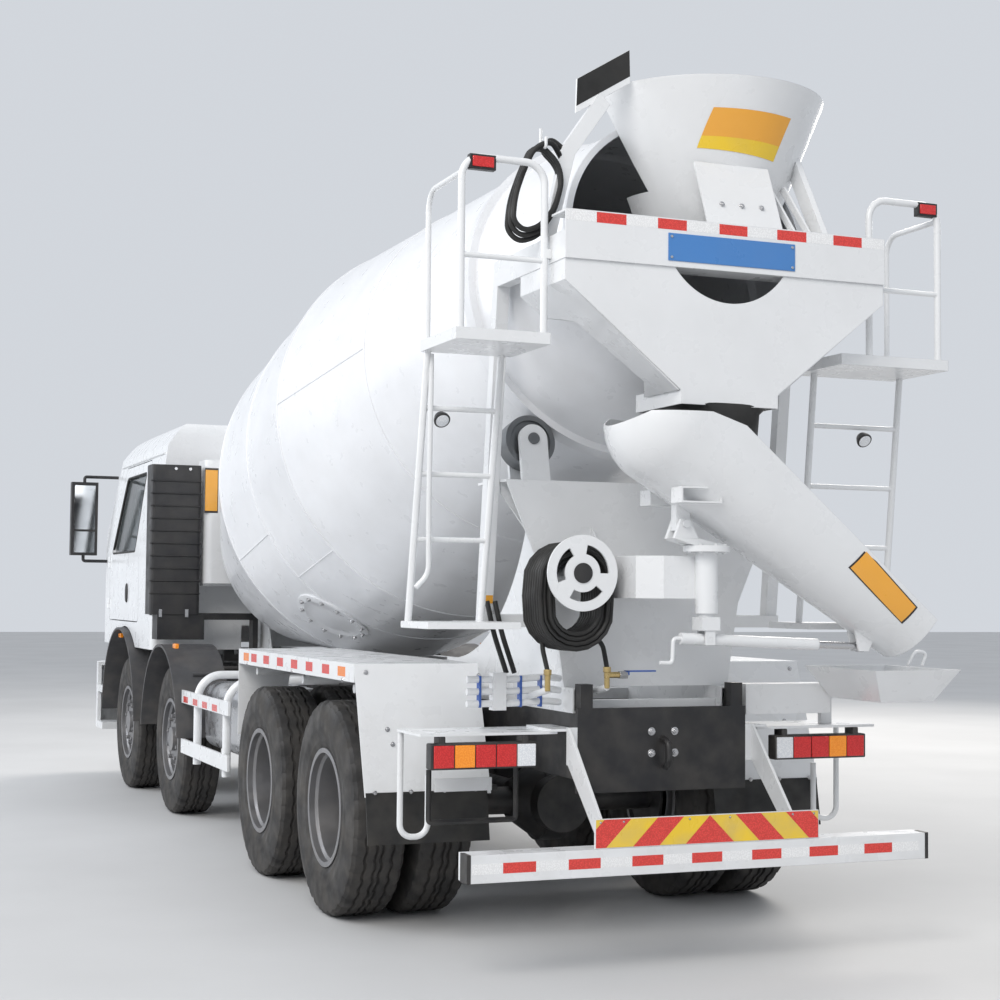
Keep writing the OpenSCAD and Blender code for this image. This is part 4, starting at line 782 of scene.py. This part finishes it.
def weld_beads():
    """Round beads where the drum's rings meet, and one straight bead along most rings."""
    bead_r, lift, around, along, beads = 0.0045, 0.001, 144, 8, Shape()
    for s in (CYLINDER_START, RING_SEAM, CYLINDER_END, CONE_SEAM):
        rings = []
        for i in range(around):
            p = drum_point(s, 360 * i / around, drum_radius(s) + lift)
            rings.append(circle(p, (p - drum_point(s, 0, 0)).normalized(), DRUM_AXIS, bead_r, 6))
        beads.rings(rings, closed=True)
    for angle, s0, s1 in ((-26, CYLINDER_START, RING_SEAM), (-42, RING_SEAM, CYLINDER_END),
                          (4, CYLINDER_END, CONE_SEAM), (150, CYLINDER_START, RING_SEAM),
                          (110, RING_SEAM, CYLINDER_END)):
        stations = [s0 + (s1 - s0) * k / along for k in range(along + 1)]
        beads.skin([drum_point(s, angle, drum_radius(s)) for s in stations], bead_r, 6)
    beads.piece("drum_weld_beads", "drum", DRUM_WHITE)


def drum_hatch():
    """Oval hatch with a raised rim, held by twelve bolts."""
    middle_s, middle_angle, half_length, half_width, bolt_ring = 0.12, -59, 0.27, 0.25, 0.87

    def place(size, t):
        """Station and angle of the point at a turn on the oval of a size."""
        return (middle_s + half_length * size * math.cos(t),
                middle_angle + math.degrees(half_width * size * math.sin(t) / DRUM_R))

    hatch, bolts = Shape(), Shape()
    hatch.rings([[drum_point(*place(size, t), DRUM_R + lift) for t in turns(56)]
                 for size, lift in ((1.0, -0.002), (1.0, 0.010), (0.97, 0.012), (0.78, 0.012), (0.76, 0.008),
                                    (0.5, 0.008), (0.25, 0.008), (0.02, 0.008))])
    hatch.piece("drum_hatch", "drum", DRUM_WHITE)
    for t in turns(12, 0.13):
        s, angle = place(bolt_ring, t)
        at = drum_point(s, angle, DRUM_R + 0.011)
        bolts.bolt(at, at - drum_point(s, 0, 0), 0.013, 0.012)
    bolts.piece("hatch_bolts", "drum", STEEL)


# Cab

def cab_side(z):
    """X of the cab's side at a height; it leans in above the windows' sills."""
    sill_z, lean, height = 1.98, 0.110, 0.810
    return CAB_SIDE_X - max(0, z - sill_z) * lean / height


def door_fittings():
    """Pane, seal and handle of both doors."""
    corners = [(5.730, 1.960), (6.840, 1.960), (6.630, 2.610), (5.730, 2.610)]
    path = rounded_path([Vector((0, y, z)) for y, z in corners[3:] + corners + corners[:1]], 0.05, 5)[1:-1]
    outline = [(p.y, p.z) for p in path]
    handle_y, handle_z, handle_half_y, handle_half_z = 6.08, 1.62, 0.038, 0.080
    for side, name in SIDES:
        out = Vector((side, 0, 0))
        pane, seal, handle = Shape(), Shape(), Shape()
        pane.slab([(side * (cab_side(z) - 0.020), y, z) for y, z in outline], (-side, 0, 0), 0.005)
        points = [Vector((side * (cab_side(z) - 0.008), y, z)) for y, z in outline]
        rings = []
        for i, p in enumerate(points):
            ahead = (points[(i + 1) % len(points)] - points[i - 1]).normalized()
            rings.append(circle(p, out, ahead.cross(out).normalized(), 0.011, 8))
        seal.rings(rings, closed=True)
        handle.rings([[(side * (CAB_SIDE_X + lift), handle_y + handle_half_y * size * math.cos(t),
                        handle_z + handle_half_z * size * math.sin(t)) for t in turns(32)]
                      for size, lift in ((1.0, -0.004), (1.0, 0.008), (0.86, 0.013), (0.5, 0.015), (0.02, 0.015))])
        pane.piece(f"door_pane_{name}", f"door_{name}", GLASS, smooth=False)
        seal.piece(f"door_seal_{name}", f"door_{name}", RUBBER)
        handle.piece(f"door_handle_{name}", f"door_{name}", BLACK_PLASTIC)


def cushion(name, low, high, lines=(), axis=0):
    """A padded block: a fine grid swollen to round edges, with sewn channels at the given places along one axis."""
    low, high = Vector(low), Vector(high)
    middle, half = (low + high) / 2, (high - low) / 2
    roundness, channel, channel_depth, margin, wrinkle = 6, 0.012, 0.09, 0.993, 0.006
    made = Shape()
    bmesh.ops.create_cube(made.bm, size=2)
    bmesh.ops.subdivide_edges(made.bm, edges=made.bm.edges, cuts=15, use_grid_fill=True)
    for vert in made.bm.verts:
        p = vert.co
        p = p / sum(abs(c) ** roundness for c in p) ** (1 / roundness)
        crease = sum(math.exp(-((p[axis] * half[axis] - line) / channel) ** 2) for line in lines)
        for a in range(3):
            if a != axis:
                p[a] *= 1 - channel_depth * crease
        p *= 1 - wrinkle * math.sin(9 * p.x + 7 * p.y + 5 * p.z)
        vert.co = middle + Vector((p.x * half.x * margin, p.y * half.y * margin, p.z * half.z * margin))
    piece = made.piece(name, "cab", CLOTH)
    rounder = piece.modifiers.new("soft", "SUBSURF")
    rounder.levels = rounder.render_levels = 1
    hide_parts("cab_seats")


def seats():
    """Base, back and head cushion on a folded foot, on each side."""
    for side, name in SIDES:
        x0, x1 = span(side, 0.55, 1.03)
        cushion(f"seat_base_{name}", (x0, 5.755, 1.565), (x1, 6.245, 1.678), (-0.14, 0.14))
        x0, x1 = span(side, 0.56, 1.02)
        cushion(f"seat_back_{name}", (x0, 5.625, 1.650), (x1, 5.748, 2.190), (-0.12, 0.0, 0.12), 2)
        x0, x1 = span(side, 0.66, 0.92)
        cushion(f"seat_head_{name}", (x0, 5.640, 2.205), (x1, 5.735, 2.378))
        floor_z, foot_height, folds = 1.228, 0.332, 8
        rings = []
        for i in range(folds + 1):
            fold = 0.0 if i % 2 else 0.018
            z = floor_z + foot_height * i / folds
            x0, x1 = span(side, 0.64 - fold, 0.78 + fold)
            y0, y1 = 5.83 - fold, 6.17 + fold
            rings.append([(x0, y0, z), (x1, y0, z), (x1, y1, z), (x0, y1, z)])
        made = Shape().rings(rings).piece(f"seat_foot_{name}", "cab", GREY_PLASTIC)
        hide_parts("cab_seats")


def steering_wheel():
    """Rim, three spokes, hub and the column's top."""
    wheel, rim_r = Shape(), 0.215
    centre, axis = Vector((-0.79, 6.60, 1.97)), Vector((0, -0.45, 0.89)).normalized()
    u, v = sides_of(axis)
    rings = []
    for a in turns(64):
        out = u * math.cos(a) + v * math.sin(a)
        rings.append(circle(centre + out * rim_r, out, axis, 0.014, 10))
    wheel.rings(rings, closed=True)
    for a in (0.5, 2.64, 4.71):
        wheel.rod(centre, centre + (u * math.cos(a) + v * math.sin(a)) * 0.21, 0.014, 10, 0.010)
    wheel.lathe([(0.06, -0.01), (0.065, 0.01), (0.05, 0.02), (0, 0.022)], centre, axis, 32)
    wheel.rod(centre, centre - axis * 0.22, 0.030)
    wheel.piece("steering_wheel", "cab", BLACK_PLASTIC)


def cab_outside():
    """Mirror glass, clip strips at the rear edges, gutters over the doors, and wipers."""
    black, white, mirror = Shape(), Shape(), Shape()
    for side, _ in SIDES:
        x0, x1 = span(side, 1.315, 1.495)
        for z0, z1 in ((1.975, 2.160), (2.180, 2.570)):
            mirror.box((x0, 7.0975, z0), (x1, 7.1005, z1))
        x0, x1 = span(side, 1.190, 1.1985)
        black.box((x0, 4.990, 1.450), (x1, 5.060, 1.990))
        x0, x1 = span(side, 1.197, 1.2035)
        for i in range(4):
            z = 1.52 + 0.14 * i
            white.box((x0, 5.005, z - 0.012), (x1, 5.045, z + 0.012))
        x = side * (cab_side(2.72) + 0.004)
        white.rod((x, 5.05, 2.725), (x, 6.95, 2.725), 0.009, 10)
    for x in (-0.62, 0.18):
        black.rod((x, 7.330, 1.950), (x, 7.362, 1.950), 0.018)
        black.rod((x, 7.356, 1.950), (x + 0.40, 7.326, 2.045), 0.007, 8)
        black.rod((x + 0.08, 7.321, 2.030), (x + 0.68, 7.314, 2.052), 0.006, 8)
    black.piece("clip_strips_and_wipers", "cab", BLACK_PLASTIC)
    white.piece("gutters_and_clips", "cab", WHITE)
    mirror.piece("mirror_glass", "cab", MIRROR, smooth=False)


def nose(z, out):
    """Y of the cab's front at a height, moved out by a thickness: forward up to a crest, then back to the window."""
    foot_y, crest_y, window_y = 7.380, 7.420, 7.330
    foot_z, crest_z, window_z = 1.180, 1.500, 1.980
    if z < crest_z:
        return foot_y + out + (crest_y - foot_y) * (z - foot_z + out) / (crest_z - foot_z + out)
    return crest_y + out - (crest_y - window_y) * (z - crest_z) / (window_z - crest_z)


def grille():
    """Dark strips in the grille's slots, between them and down both edges."""
    made, half, edge = Shape(), 0.800, 0.060

    def strip(x0, x1, z0, z1, out):
        points = [(x0, nose(z0, out), z0), (x1, nose(z0, out), z0), (x1, nose(z1, out), z1), (x0, nose(z1, out), z1)]
        made.slab(points, (0, 1, 0), 0.0012)

    slots = [(1.310 + 0.090 * i, 1.372 + 0.090 * i) for i in range(6)]
    for z0, z1 in slots:
        strip(edge - half, half - edge, z0, z1, 0.0082)
    borders = [1.250] + [z for slot in slots for z in slot] + [1.880]
    for z0, z1 in zip(borders[::2], borders[1::2]):
        strip(-half, half, z0, z1, 0.0242)
    for z0, z1 in ((1.250, 1.500), (1.500, 1.880)):
        for x in (-half, half - edge):
            strip(x, x + edge, z0, z1, 0.0240)
    made.piece("grille_skin", "cab", BLACK_PLASTIC, smooth=False)


def headlamps():
    """Rims, lenses and turn lenses that follow the bumper's round corners."""
    corner_x, corner_y, corner_r = 0.970, 7.340, 0.255

    def front(x, out):
        return corner_y + math.sqrt((corner_r + out) ** 2 - max(0, x - corner_x) ** 2)

    for name, x0, x1, grow, out, material in (("headlamp_rims", 0.702, 1.108, 0.0, 0.0008, BLACK_PLASTIC),
                                              ("headlamp_lenses", 0.712, 1.006, 0.010, 0.0035, CLEAR_LENS),
                                              ("turn_lenses", 1.014, 1.098, 0.010, 0.0035, AMBER_LENS)):
        made, z0, z1 = Shape(), 0.622 + grow, 0.848 - grow
        for side, _ in SIDES:
            rings = []
            for i in range(13):
                x = x0 + (x1 - x0) * i / 12
                near, far = front(x, -0.004), front(x, out)
                rings.append([(side * x, near, z0), (side * x, far, z0), (side * x, far, z1), (side * x, near, z1)])
            made.rings(rings)
        made.piece(name, "truck", material)


def intake_details():
    """Ribs across the air intake's rear face, two eyelets over its sticker and two clips at its foot."""
    dark, steel = Shape(), Shape()
    left_x, rib_y, face_y = -1.284, 4.586, 4.5905
    for i in range(10):
        z = 1.62 + 0.095 * i
        right_x = left_x + 0.38
        rib = [(left_x, INTAKE_Y, z), (left_x, rib_y, z), (right_x, rib_y, z), (right_x, INTAKE_Y, z)]
        dark.tube(rib, 0.006, 0.01, 6)
    for x in (-1.10, -0.99):
        steel.rod((x, face_y, 2.57), (x, 4.583, 2.57), 0.012)
    for x in (-1.20, -1.00):
        steel.box((x - 0.012, 4.580, 1.440), (x + 0.012, face_y, 1.500))
    dark.piece("intake_ribs", "truck", BLACK_PLASTIC)
    steel.piece("intake_eyelets_and_clips", "truck", STEEL)


# Surroundings

def make_stage():
    """Pale floor, even sky and three large lamps."""
    far = 60
    floor = bpy.data.meshes.new("floor")
    floor.from_pydata([(-far, -far, 0), (far, -far, 0), (far, far, 0), (-far, far, 0)], [], [(0, 1, 2, 3)])
    ground = linked("floor", floor)
    look = Look("pale_floor")
    look.fill(look.shader, {
        "Base Color": look.clouds(0.6, 5, (0.56, 0.56, 0.56, 1), (0.60, 0.60, 0.60, 1)),
        "Roughness": 0.7,
    })
    floor.materials.append(look.made)

    world = bpy.data.worlds.new("world")
    world.use_nodes = True
    sky = world.node_tree.nodes["Background"]
    sky.inputs["Color"].default_value = (0.86, 0.90, 0.96, 1)
    sky.inputs["Strength"].default_value = 0.75
    bpy.context.scene.world = world

    aim = Vector((0, 0, 1.5))
    for name, at, size, power, tone in (("key", (-9, -12, 11), 8, 1300, (1, 0.97, 0.93)),
                                        ("side", (-12, 4, 7), 9, 900, (0.93, 0.96, 1)),
                                        ("back", (10, 8, 10), 8, 1300, (1, 0.95, 0.88))):
        data = bpy.data.lights.new(name, "AREA")
        data.size, data.energy, data.color = size, power, tone
        lamp = linked(name, data)
        lamp.location = at
        lamp.rotation_euler = (aim - Vector(at)).to_track_quat("-Z", "Y").to_euler()
    bpy.context.scene.view_settings.view_transform = "Standard"


make_camera()
paint_nodes()
make_tyres()
films()
blue_plate()
chevrons()
stickers()
tail_lamps()
small_lamps()
wash_hose()
hanging_loops()
wash_fittings()
rear_end()
splash_painted_shade()
outlet_skirt()
weld_beads()
drum_hatch()
door_fittings()
seats()
steering_wheel()
cab_outside()
intake_details()
grille()
headlamps()
make_stage()
